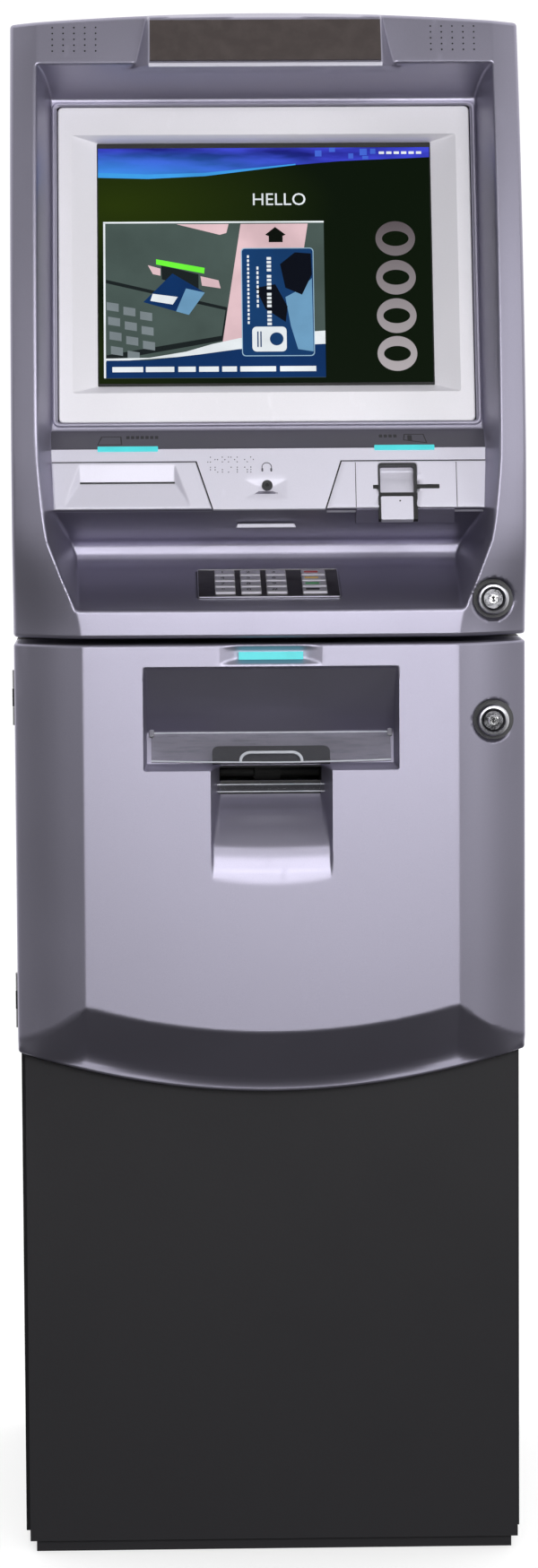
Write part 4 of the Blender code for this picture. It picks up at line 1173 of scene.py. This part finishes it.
    def make_picture(self):
        self.show("ground", "picture_ground", [outline_at([(0, 0), (1, 0), (1, 1), (0, 1)])], 0)
        for layer, (finish_name, name, outlines) in enumerate(self.LAYERS, 1):
            shares = [[(s / 1000, t / 1000) for s, t in outline] for outline in outlines]
            self.show(name, finish_name, [outline_at(outline) for outline in shares], layer)
        squares = ((0.655, 0.012, 0.020, 0.026), (0.698, 0.001, 0.018, 0.018), (0.756, 0.026, 0.015, 0.022),
                   (0.790, 0.006, 0.022, 0.028), (0.798, 0.037, 0.018, 0.014), (0.822, 0.006, 0.016, 0.022))
        self.show("squares", "picture_square", picture_boxes(squares), 3)
        dashes = [(0.848 + 0.0225 * i, 0.018, 0.016, 0.011) for i in range(6)]
        self.show("header_dashes", "picture_white", picture_boxes(dashes), 3)
        keys = [(0.024 + 0.050 * c + 0.004 * r, 0.655 + 0.062 * r + 0.020 * c, 0.036, 0.034)
                for r in range(4) for c in range(3) if (r, c) != (3, 2)]
        self.show("keys", "picture_key", picture_boxes(keys, 0.008), 7)
        self.show("caption", "picture_white", picture_boxes([(s, 0.931, w, 0.022) for s, w in self.WORDS]), 16)
        centre = outline_at([(0.5445, 0.2234)])[0]
        place = SCREEN @ Matrix.Translation((*centre, PICTURE_BACK + 2 * PICTURE_LAYER))
        finish_mesh("picture_greeting", letter_mesh("HELLO", 0.0118, place), "upper_fascia", "picture_white", 0)

    def make_card(self):
        """A bank card with a shine, a number of dashes and a blank label."""
        low, high = outline_at([(0.428, 0.889), (0.646, 0.430)])
        self.show("card_edge", "picture_card_edge", [rectangle(low, high, 0.0034)], 16)
        inner = [(low[0] + 0.0008, low[1] + 0.0008), (high[0] - 0.0008, high[1] - 0.0008)]
        self.show("card", "picture_card", [rectangle(inner[0], inner[1], 0.0030)], 17)
        rows = [(0.505, 0.470 + 0.0165 * i + 0.010 * (i // 4), 0.013, 0.011) for i in range(16)]
        rows += [(0.474, 0.510 + 0.020 * i, 0.006, 0.013) for i in range(9)]
        rows += [(0.446, 0.462 + 0.0175 * i, 0.006, 0.011) for i in range(17)]
        self.show("card_dashes", "picture_white", picture_boxes(rows), 21)
        low, high = outline_at([(0.459, 0.870), (0.562, 0.765)])
        self.show("card_label", "picture_white", [rectangle(low, high, 0.0040)], 22)
        centre = outline_at([(0.532, 0.817)])[0]
        self.show("card_disc", "picture_card", [circle(centre, 0.0062, 24)], 23)
        bars = [(s, 0.785, 0.004, 0.066) for s in (0.474, 0.483)]
        self.show("card_bars", "picture_card", picture_boxes(bars), 23)

    def make_rings(self):
        """A column of broad rings at the right."""
        back = PICTURE_BACK + 2 * PICTURE_LAYER
        rings = []
        for t in (0.391, 0.556, 0.719, 0.879):
            centre = outline_at([(0.893, t)])[0]
            outlines = [circle(centre, wide, 48, tall) for wide, tall in ((0.0181, 0.0165), (0.0122, 0.0072))]
            rings.append(plate_mesh(outlines, back, back + PICTURE_LAYER, SCREEN))
        finish_mesh("picture_rings", joined(rings), "upper_fascia", "picture_rings", 0)


RECEIPT_DISH_TOP, RECEIPT_SLOT_V, RECEIPT_DISH_BOTTOM = 0.0138, -0.0017, -0.0263
PANEL_HIGH_V, PANEL_LOW_V = 0.0163, -0.0285
PANEL_FACE = 0.0013
PANEL_BORDER = 0.0010
GROOVE_REACH = 0.0014
NOTCH_CORNER = 0.0030


class CASH_OT_console(Operator):
    """Build the console: receipt panel, card panel, label strip, touch dots and light bar"""

    bl_idname = "cash.console"
    bl_label = "Console"

    def execute(self, context):
        self.make_middle()
        self.make_receipt_panel()
        self.make_card_panel()
        self.make_card_mouth()
        self.make_label_strip()
        self.make_touch_marks()
        self.make_light_bar()
        for name, node, low, high in (("receipt_lens", "receipt_lamp", -0.1532, -0.0990),
                                      ("card_lens", "card_lamp", 0.0950, 0.1490)):
            lens = self.flat(name, "lamp", (-0.0040, 0.0014), (low, 0.0268), (high, 0.0318), bevel=0.0006)
            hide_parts(node)
        return {"FINISHED"}

    @staticmethod
    def flat(name, finish_name, span, low, high, radius=0.0, bevel=0.0):
        """A rectangular plate on the console, from corner to corner."""
        return plate(name, "upper_fascia", finish_name, [rectangle(low, high, radius)], span, CONSOLE, bevel)

    @staticmethod
    def edges(sign):
        """Outer and slanted inner edge of a panel at height v; sign is -1 for the left panel."""
        span = PANEL_HIGH_V - PANEL_LOW_V

        def outer(v):
            return sign * (0.1922 + 0.0022 * (v - PANEL_LOW_V) / span)

        def inner(v):
            return sign * (0.0515 + 0.0140 * (v - PANEL_LOW_V) / span)

        return (outer, inner) if sign < 0 else (inner, outer)

    def make_middle(self):
        """The pale face between and above the two panels, with the tapered pad round the jack."""
        left, right = self.edges(-1)[1], self.edges(1)[0]

        def height(u, v):
            return 0.0003 - jack_pad(u, (v + 0.0185) / 0.0065, -v / 0.0060)

        rows = lines_between(*spans_from(PANEL_LOW_V - 0.0004, (-0.0190, 0.002), (0.0005, 0.0012),
                                         (0.0176, 0.004)))
        mesh = relief_mesh(CONSOLE, np.linspace(0, 1, 61), rows, lambda v: left(v) + GROOVE_REACH,
                           lambda v: right(v) - GROOVE_REACH, height, -0.0034)
        finish_mesh("console_middle", mesh, "upper_fascia", "pale", 30)
        self.flat("console_top", "pale", (-0.001, 0.0003), (-0.1946, 0.0175), (0.1946, 0.0292))

    @staticmethod
    def make_groove(name, left, right):
        """The dark line round a panel."""
        v0, v1 = PANEL_LOW_V, PANEL_HIGH_V + 0.0010

        def frame_at(reach, low, high):
            return [(left(v0) - reach, low), (right(v0) + reach, low), (right(v1) + reach, high),
                    (left(v1) - reach, high)]

        outlines = [frame_at(GROOVE_REACH, v0, v1),
                    frame_at(-GROOVE_REACH, v0 + GROOVE_REACH, v1 - 2 * GROOVE_REACH)]
        plate(name, "upper_fascia", "void", outlines, (-0.0006, 0.0003), CONSOLE)

    @staticmethod
    def face(u, v, left, right):
        """The panel's own face with its rounded border."""
        border = np.minimum.reduce([u - left(v), right(v) - u, PANEL_HIGH_V - v, v - PANEL_LOW_V])
        return PANEL_FACE - PANEL_BORDER * (1 - np.clip(border / PANEL_BORDER, 0, 1)) ** 2

    def make_receipt_panel(self):
        left, right = self.edges(-1)
        self.make_groove("receipt_groove", left, right)

        def height(u, v):
            tent = np.where(v > RECEIPT_SLOT_V, (RECEIPT_DISH_TOP - v) / (RECEIPT_DISH_TOP - RECEIPT_SLOT_V),
                            (v - RECEIPT_DISH_BOTTOM) / (RECEIPT_SLOT_V - RECEIPT_DISH_BOTTOM))
            tent = np.clip(tent, 0, 1)
            share = (RECEIPT_DISH_TOP - v) / (RECEIPT_DISH_TOP - RECEIPT_DISH_BOTTOM)
            inside = np.minimum(u - (-0.1697 - 0.0133 * share), (-0.0840 + 0.0140 * share) - u)
            depth = 0.0048 * tent * np.clip(inside / (0.0055 * tent + 0.0004), 0, 1)
            return self.face(u, v, left, right) - depth

        rows = lines_between(*spans_from(PANEL_LOW_V, (-0.0245, 0.0005), (-0.0030, 0.0014), (0.0, 0.0005),
                                         (0.0120, 0.0014), (PANEL_HIGH_V, 0.0005)))
        mesh = relief_mesh(CONSOLE, np.linspace(0, 1, 161), rows, left, right, height, -0.0062)
        panel = finish_mesh("receipt_panel", mesh, "upper_fascia", "pale", 50)
        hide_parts("receipt_bezel")
        self.flat("receipt_slot", "void", (-0.0060, -0.0029), (-0.1690, -0.0026), (-0.0842, -0.0010))

    def make_card_panel(self):
        left, right = self.edges(1)
        self.make_groove("card_groove", left, right)

        def height(u, v):
            from_left, from_right, from_top = u - 0.0977, 0.1327 - u, 0.0147 - v
            short = [np.clip(NOTCH_CORNER - d, 0, None) for d in (from_left, from_right, from_top)]
            corner = np.maximum(np.hypot(short[0], short[2]), np.hypot(short[1], short[2]))
            inside = np.minimum.reduce([from_left, from_right, from_top, NOTCH_CORNER - corner])
            depth = along(((0.0042, -0.0150), (0.0058, -0.0100), (0.0090, 0.0020), (0.0096, 0.0095),
                           (0.0060, 0.0140)), v)
            return self.face(u, v, left, right) - depth * np.clip(inside / 0.0014, 0, 1)

        low_u, high_u = 0.0655, 0.1944
        steps = ((0.0950, 0.02), (0.1025, 0.004), (0.1280, 0.02), (0.1355, 0.004), (high_u, 0.03))
        columns = lines_between(*spans_from(0, *(((u - low_u) / (high_u - low_u), step) for u, step in steps)))
        rows = lines_between(*spans_from(PANEL_LOW_V, (-0.0265, 0.0005), (0.0090, 0.0012),
                                         (PANEL_HIGH_V, 0.0005)))
        mesh = relief_mesh(CONSOLE, columns, rows, left, right, height, -0.0105)
        panel = finish_mesh("card_panel", mesh, "upper_fascia", "pale", 50)
        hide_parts("card_bezel")
        for name, u in (("card_seam_left", 0.0776), ("card_seam_right", 0.1680)):
            self.flat(name, "void", (0.0006, PANEL_FACE + 0.00008), (u - 0.0003, PANEL_LOW_V + 0.0004),
                      (u + 0.0003, 0.0150))

    def make_card_mouth(self):
        """The slot across the finger notch, the tongue under it and the reader block that hangs below."""
        for name, low, high, span in (
                ("card_slot_left", (0.0930, -0.0106), (0.0980, -0.0070), (0.0004, 0.0016)),
                ("card_slot_right", (0.1322, -0.0106), (0.1525, -0.0066), (0.0004, 0.0016)),
                ("card_slot_middle", (0.0980, -0.0170), (0.1322, -0.0140), (-0.0060, 0.0006))):
            self.flat(name, "void", span, low, high, 0.0004)
        # A dark ring round the finger notch: painted shade for the notch's shadowed walls.
        edge = [rectangle((0.0979, -0.0150), (0.1325, 0.0145), 0.0028),
                rectangle((0.0996, -0.0148), (0.1296, 0.0121), 0.0020)]
        plate("card_notch_painted_shade", "upper_fascia", "dark", edge, (-0.0050, 0.0004), CONSOLE)
        tongue_left, tongue_right, gap = 0.0998, 0.1288, (-0.0060, 0.0004)
        self.flat("card_tongue", "pale", (-0.0060, 0.0012), (tongue_left, -0.0402), (tongue_right, -0.0176),
                  0.0012, 0.0006)
        plate("card_tongue_dot", "upper_fascia", "void", [circle((0.1170, -0.0222), 0.0008, 16)],
              (0.0010, 0.0013), CONSOLE)
        self.flat("card_tongue_gap", "void", gap, (tongue_right, -0.0395), (0.1327, -0.0140))
        self.flat("card_tongue_gap_left", "void", gap, (0.0977, -0.0395), (tongue_left, -0.0140))
        block = [(-0.2838, 0.9568), (-0.2560, 0.9568), (-0.2560, 0.9432), (-0.2690, 0.9432)]
        plate("reader_block", "upper_fascia", "silver", [block], (0.0776, 0.1660), SIDEWAYS, 0.0007)

    def make_label_strip(self):
        """A dark strip above the console with two pictograms."""
        strip = [(-0.1945, -0.0158), (0.1945, -0.0158), (0.1955, 0.0160), (-0.1955, 0.0160)]
        plate("label_strip", "upper_fascia", "label", [strip], (-0.0008, 0.0005), LABEL)
        marks = []

        def mark(outlines):
            marks.append(plate_mesh(outlines, 0.0002, 0.00062, LABEL))

        mark([[(-0.1535, -0.0096), (-0.1310, -0.0096), (-0.1318, 0.0056), (-0.1500, 0.0056)],
              [(-0.1524, -0.0086), (-0.1322, -0.0086), (-0.1329, 0.0046), (-0.1492, 0.0046)]])
        mark([[(0.1215, -0.0040), (0.1430, -0.0096), (0.1405, 0.0070), (0.1225, 0.0070)],
              [(0.1225, -0.0030), (0.1418, -0.0082), (0.1396, 0.0060), (0.1234, 0.0060)]])
        mark([rectangle((0.1255, -0.0050), (0.1295, 0.0048), 0.0006)])
        for first, count in ((-0.1275, 7), (0.1000, 4)):
            for i in range(count):
                mark([rectangle((first + 0.0043 * i, 0.0012), (first + 0.0043 * i + 0.0030, 0.0062), 0.0005)])
        finish_mesh("label_marks", joined(marks), "upper_fascia", "ink", 0)

    def make_touch_marks(self):
        """Raised touch dots and a headphone pictogram on the middle of the console."""
        cells = ((-0.0545, 1), (-0.0480, 2), (-0.0415, 5), (-0.0360, 3), (-0.0305, 6), (-0.0215, 4), (-0.0160, 7))
        dots = []
        for row, z in enumerate((1.0034, 0.9944)):
            for x, pattern in cells:
                for spot in range(6):
                    if (pattern * (3 + row) + spot * (5 - row)) % 7 < 3:
                        u = x + 0.0023 * (spot % 2)
                        v = (z - 0.9840) / 0.92 - 0.0023 * (spot // 2)
                        place = CONSOLE @ Matrix.Translation((u, v, 0.0004))
                        dots.append(turned_mesh([(0.00055, -0.0003), (0.00050, 0.0002), (0.00030, 0.0004),
                                                 (0, 0.00045)], place, 10))
        finish_mesh("touch_dots", joined(dots), "upper_fascia", "label")
        place = CONSOLE @ Matrix.Translation((-0.0016, -0.0060, 0))
        rim = [(0.0018, -0.0020), (0.0018, 0.0006), (0.0036, 0.0012), (0.0047, 0.0006), (0.0049, -0.0020)]
        finish_mesh("jack_rim", turned_mesh(rim + [rim[0]], place, 40), "upper_fascia", "dark")
        hole = [(0, 0.0003), (0.0019, 0.0003), (0.0019, -0.0020), (0, -0.0020)]
        finish_mesh("jack_hole", turned_mesh(hole, place, 24), "upper_fascia", "void")
        centre, start, end = (-0.0018, 0.0112), math.radians(-25), math.radians(205)
        band = arc(centre, (0.0046, 0.0046), start, end, 20) + arc(centre, (0.0039, 0.0039), end, start, 20)
        cups = [rectangle((centre[0] + side * 0.0040 - 0.0008, centre[1] - 0.0042),
                          (centre[0] + side * 0.0040 + 0.0008, centre[1] - 0.0010), 0.0006) for side in (-1, 1)]
        flat = [plate_mesh([outline], 0.0001, 0.0007, CONSOLE) for outline in (band, *cups)]
        finish_mesh("headphone_mark", joined(flat), "upper_fascia", "label")

    def make_light_bar(self):
        place = UPRIGHT @ Matrix.Translation((0, 0, 0.2293))
        outline = [(-0.0292, 0.9392), (0.0252, 0.9392), (0.0238, 0.9430), (-0.0276, 0.9430)]
        bar = plate("light_bar", "upper_fascia", "pale", [outline], (0.0, 0.0078), place, 0.0008)
        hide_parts("console_light")


class CASH_OT_keypad(Operator):
    """Finish the keypad: rounded steel keys, generic digits and coloured marks, a bright rim"""

    bl_idname = "cash.keypad"
    bl_label = "Keypad"

    MARKS = {"key_star": "*", "key_hash": "#", **{f"key_{digit}": str(digit) for digit in range(10)}}
    COLOURS = {"key_cancel": "mark_red", "key_clear": "mark_yellow", "key_enter": "mark_green"}
    KEY_TOP = 0.00352
    KEY_FRONT = 0.00675

    def execute(self, context):
        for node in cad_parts:
            if node.startswith("key_"):
                repaint(node, "key")
                bevelled(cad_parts[node], 0.0004)
                self.make_mark(node)
        rim = plate("keypad_rim", "upper_fascia", "ring",
                    [rectangle((-0.0641, -0.0434), (0.0641, 0.0434), 0.002),
                     rectangle((-0.0635, -0.0428), (0.0635, 0.0428), 0.0015)], (0.0006, 0.0015), SHELF)
        bevelled(rim, 0.0001)
        return {"FINISHED"}

    def make_mark(self, node):
        """The mark on a key's top and a pale strip on its front face, a painted highlight."""
        low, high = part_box(node)
        middle = (Vector(low) + Vector(high)) / 2
        local = SHELF.inverted() @ middle
        half = (high.x - low.x) / 2 - 0.0007
        edge = SHELF @ Matrix.Translation((local.x, local.y - self.KEY_FRONT, 0))
        front = edge @ Matrix.Rotation(math.pi / 2, 4, "X")
        # Pale strip on the key's front face: a painted highlight.
        front_highlight = rectangle((-half, 0.0014), (half, 0.0031))
        plate(node + "_front", node, "pale", [front_highlight], (-0.0001, 0.00015), front)
        place = SHELF @ Matrix.Translation((local.x - 0.002, local.y, self.KEY_TOP))
        if node in self.MARKS:
            mesh, paint = letter_mesh(self.MARKS[node], 0.0062, place), "ink"
        else:
            paint = self.COLOURS.get(node, "plate")
            outline = rectangle((-0.0062, -0.0026), (0.0062, 0.0026), 0.0010)
            mesh = plate_mesh([outline], -0.00005, 0.00008, place)
        finish_mesh(node + "_mark", mesh, node, paint, 0)


class CASH_OT_locks(Operator):
    """Build the stepped lock rings and the keyways of both locks"""

    bl_idname = "cash.locks"
    bl_label = "Locks"

    def execute(self, context):
        for word, z, body in (("lower", LOWER_LOCK_Z, "lower_fascia"), ("upper", UPPER_LOCK_Z, "upper_fascia")):
            place = Matrix.Translation((LOCK_X, 0, 0)) @ leaning((-0.2905, z), 0)
            profile = [(0.0088, -0.010), (0.0088, -0.0030), (0.0106, 0.0004), (0.0112, 0.0012), (0.0128, 0.0008),
                       (0.0138, -0.0004), (0.0141, -0.0020), (0.0141, -0.0100)]
            ring = finish_mesh(f"{word}_ring", turned_mesh(profile + [profile[0]], place), body, "ring", 30)
            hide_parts(f"{word}_lock_ring")
            # A dark ring on the well's floor: painted shade for the shadowed dish round the lock.
            floor = [(0.0140, 0.0114), (0.0187, 0.0114), (0.0187, 0.0122), (0.0140, 0.0122)]
            turned = turned_mesh([(r, -h) for r, h in floor + floor[:1]], place)
            finish_mesh(f"{word}_well", turned, body, "dark", 30)
            plug = f"{word}_lock_plug"
            repaint(plug, "barrel")
            face = [(0, 0.0012), (0.0040, 0.0012), (0.0046, 0.0008), (0.0048, -0.0004), (0, -0.0004)]
            finish_mesh(f"{word}_keyway_plate", turned_mesh(face, place, 40), plug, "bright", 30)
            hole = [circle((0, 0.0013), 0.0013, 20), circle((0, -0.0014), 0.0012, 20),
                    rectangle((-0.0006, -0.0016), (0.0006, 0.0016))]
            flat = [plate_mesh([outline], 0.0010, 0.00135 + 0.00002 * i, place) for i, outline in enumerate(hole)]
            finish_mesh(f"{word}_keyhole", joined(flat), plug, "void", 0)
        return {"FINISHED"}


class CASH_OT_outlet(Operator):
    """Build the clear flap with painted highlight strips on its edges, painted highlight lines on the clear lip,
    and the dark throat of the cash outlet
    """

    bl_idname = "cash.outlet"
    bl_label = "Cash outlet"

    def execute(self, context):
        half = 0.1073
        bow = [(half - 2 * half * i / 24, -0.0332 + 0.0022 * (1 - 2 * i / 24) ** 2) for i in range(25)]
        outline = [(-half, 0.0), (half, 0.0), *bow]
        flap = plate("flap_plate", "cash_flap", "clear", [outline], (-0.0008, 0.0010), FLAP, 0.0004)
        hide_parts("cash_flap")
        # Pale strips along the flap's top and low edges: painted highlights.
        edge = [(-half, -0.0012), (half, -0.0012), (half, 0.0), (-half, 0.0)]
        plate("flap_top_edge_highlight", "cash_flap", "frost", [edge], (0.0010, 0.0016), FLAP)
        low_edge = bow + [(u, v + 0.0012) for u, v in bow[::-1]]
        plate("flap_low_edge_highlight", "cash_flap", "frost", [low_edge], (0.0010, 0.0018), FLAP)

        def arch(half_width, top, corner):
            points = [(half_width, -0.0328)]
            points += arc((half_width - corner, top - corner), (corner, corner), 0, math.pi / 2, 8)
            return points + [(-u, v) for u, v in points[::-1]]

        plate("flap_window", "cash_flap", "smoke", [arch(0.0527, -0.0135, 0.006)], (-0.0016, -0.0009), FLAP)
        thumb = arch(0.0286, -0.0208, 0.010) + arch(0.0262, -0.0232, 0.008)[::-1]
        plate("flap_thumb_rim", "cash_flap", "frost", [thumb], (0.0010, 0.0020), FLAP)
        for word, side in (("left", -1), ("right", 1)):
            outline = rectangle((side * 0.1068 - 0.0022, -0.0052), (side * 0.1068 + 0.0022, 0.0022), 0.0012)
            plate(f"flap_clip_{word}", "cash_flap", "hinge_steel", [outline], (0.0006, 0.0032), FLAP, 0.0006)
        throat = [rectangle((-0.0526, 0.7005), (0.0526, 0.7262)), rectangle((-0.0460, 0.7125), (0.0460, 0.7245))]
        plate("outlet_throat", "lower_fascia", "void", throat, (0.2658, 0.2664), UPRIGHT)
        # Pale lines along the clear lip's low and high edges: painted highlights.
        for name, low, high in (("lip_low_highlight", 0.7030, 0.7040), ("lip_high_highlight", 0.7096, 0.7104)):
            edge = rectangle((-0.0530, low), (0.0530, high))
            plate(name, "lower_fascia", "frost", [edge], (0.2740, 0.2772), UPRIGHT)
        return {"FINISHED"}


class CASH_OT_steelwork(Operator):
    """Give the safe, the cabinet and the inner parts their finishes and rounded edges"""

    bl_idname = "cash.steelwork"
    bl_label = "Steelwork"

    FINISHES = {
        "black": ("plinth", "safe_body", "safe_door", "head_cabinet", "rear_cover"),
        "grey_steel": ("safe_shelf", "dispenser_frame", "computer_unit"),
        "hinge_steel": ("lower_hinge_pin_top", "lower_hinge_pin_bottom", "upper_hinge_pin_top",
                        "upper_hinge_pin_bottom"),
        "bright": ("safe_handle", "locking_bolt"),
        "dark": ("cash_cassette", "power_inlet", "combination_dial", "receipt_printer", "card_reader",
                 "headphone_jack", "speaker_left", "speaker_right"),
        "void": ("lcd_panel",),
        "plate": ("keypad_module",),
        "rubber": ("feed_roller", "pinch_roller", "platen_roller"),
        "paper": ("paper_roll",),
        "clear": ("cash_lip",),
        "lamp": ("cash_lamp",),
        "sign": ("sign_panel",),
    }
    EDGES = {"plinth": 0.0015, "safe_body": 0.0015, "safe_door": 0.0015, "head_cabinet": 0.0012,
             "rear_cover": 0.0010, "sign_panel": 0.0008, "cash_lamp": 0.0008, "safe_handle": 0.0010,
             "combination_dial": 0.0008, "cash_cassette": 0.0015, "computer_unit": 0.0010, "cash_lip": 0.0005}

    def execute(self, context):
        for name, nodes in self.FINISHES.items():
            for node in nodes:
                repaint(node, name)
        for node, width in self.EDGES.items():
            bevelled(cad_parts[node], width, 2, 40)
        self.make_dial_ticks()
        self.make_rear_screws()
        return {"FINISHED"}

    def make_dial_ticks(self):
        """White division marks round the combination dial's face."""
        low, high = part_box("combination_dial")
        centre_x, centre_z = (low.x + high.x) / 2, (low.z + high.z) / 2
        face = Matrix.Translation((centre_x, 0, 0)) @ leaning((low.y, centre_z), 0)
        ticks = []
        for i in range(50):
            turn = face @ Matrix.Rotation(math.tau * i / 50, 4, "Z")
            length = 0.0042 if i % 5 == 0 else 0.0024
            tick = rectangle((-0.0002, 0.0225 - length), (0.0002, 0.0225))
            ticks.append(plate_mesh([tick], -0.0002, 0.00006, turn))
        finish_mesh("dial_ticks", joined(ticks), "combination_dial", "pale", 0)

    def make_rear_screws(self):
        """Round-headed screws round the rear cover."""
        profile = [(0, -0.001), (0.0042, -0.001), (0.0040, 0.0008), (0.0026, 0.0018), (0, 0.0021)]
        low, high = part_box("rear_cover")
        heads = []
        for x in (low.x + 0.012, high.x - 0.012):
            for i in range(4):
                z = low.z + 0.014 + (high.z - low.z - 0.028) * i / 3
                place = Matrix.Translation((x, high.y, z)) @ Matrix.Rotation(-math.pi / 2, 4, "X")
                heads.append(turned_mesh(profile, place, 24))
        finish_mesh("rear_screws", joined(heads), "cabinet", "hinge_steel")


class CASH_PT_panel(Panel):
    """Lists the operators in the order they are run"""

    bl_label = "Cash machine"
    bl_idname = "CASH_PT_panel"
    bl_space_type = "VIEW_3D"
    bl_region_type = "UI"
    bl_category = "Cash machine"

    def draw(self, context):
        for operator in OPERATORS:
            self.layout.operator(operator.bl_idname)


OPERATORS = (CASH_OT_stage, CASH_OT_steelwork, CASH_OT_upper_fascia, CASH_OT_lower_fascia, CASH_OT_display,
             CASH_OT_console, CASH_OT_keypad, CASH_OT_locks, CASH_OT_outlet)
CLASSES = (PaintSettings, FasciaSettings, StageSettings, CASH_PG_settings, *OPERATORS, CASH_PT_panel)


def register():
    for cls in CLASSES:
        bpy.utils.register_class(cls)
    bpy.types.Scene.cash_machine = PointerProperty(type=CASH_PG_settings)


def unregister():
    del bpy.types.Scene.cash_machine
    for cls in reversed(CLASSES):
        bpy.utils.unregister_class(cls)


def main():
    register()
    for operator in OPERATORS:
        category, name = operator.bl_idname.split(".")
        getattr(getattr(bpy.ops, category), name)()


if __name__ == "__main__":
    main()
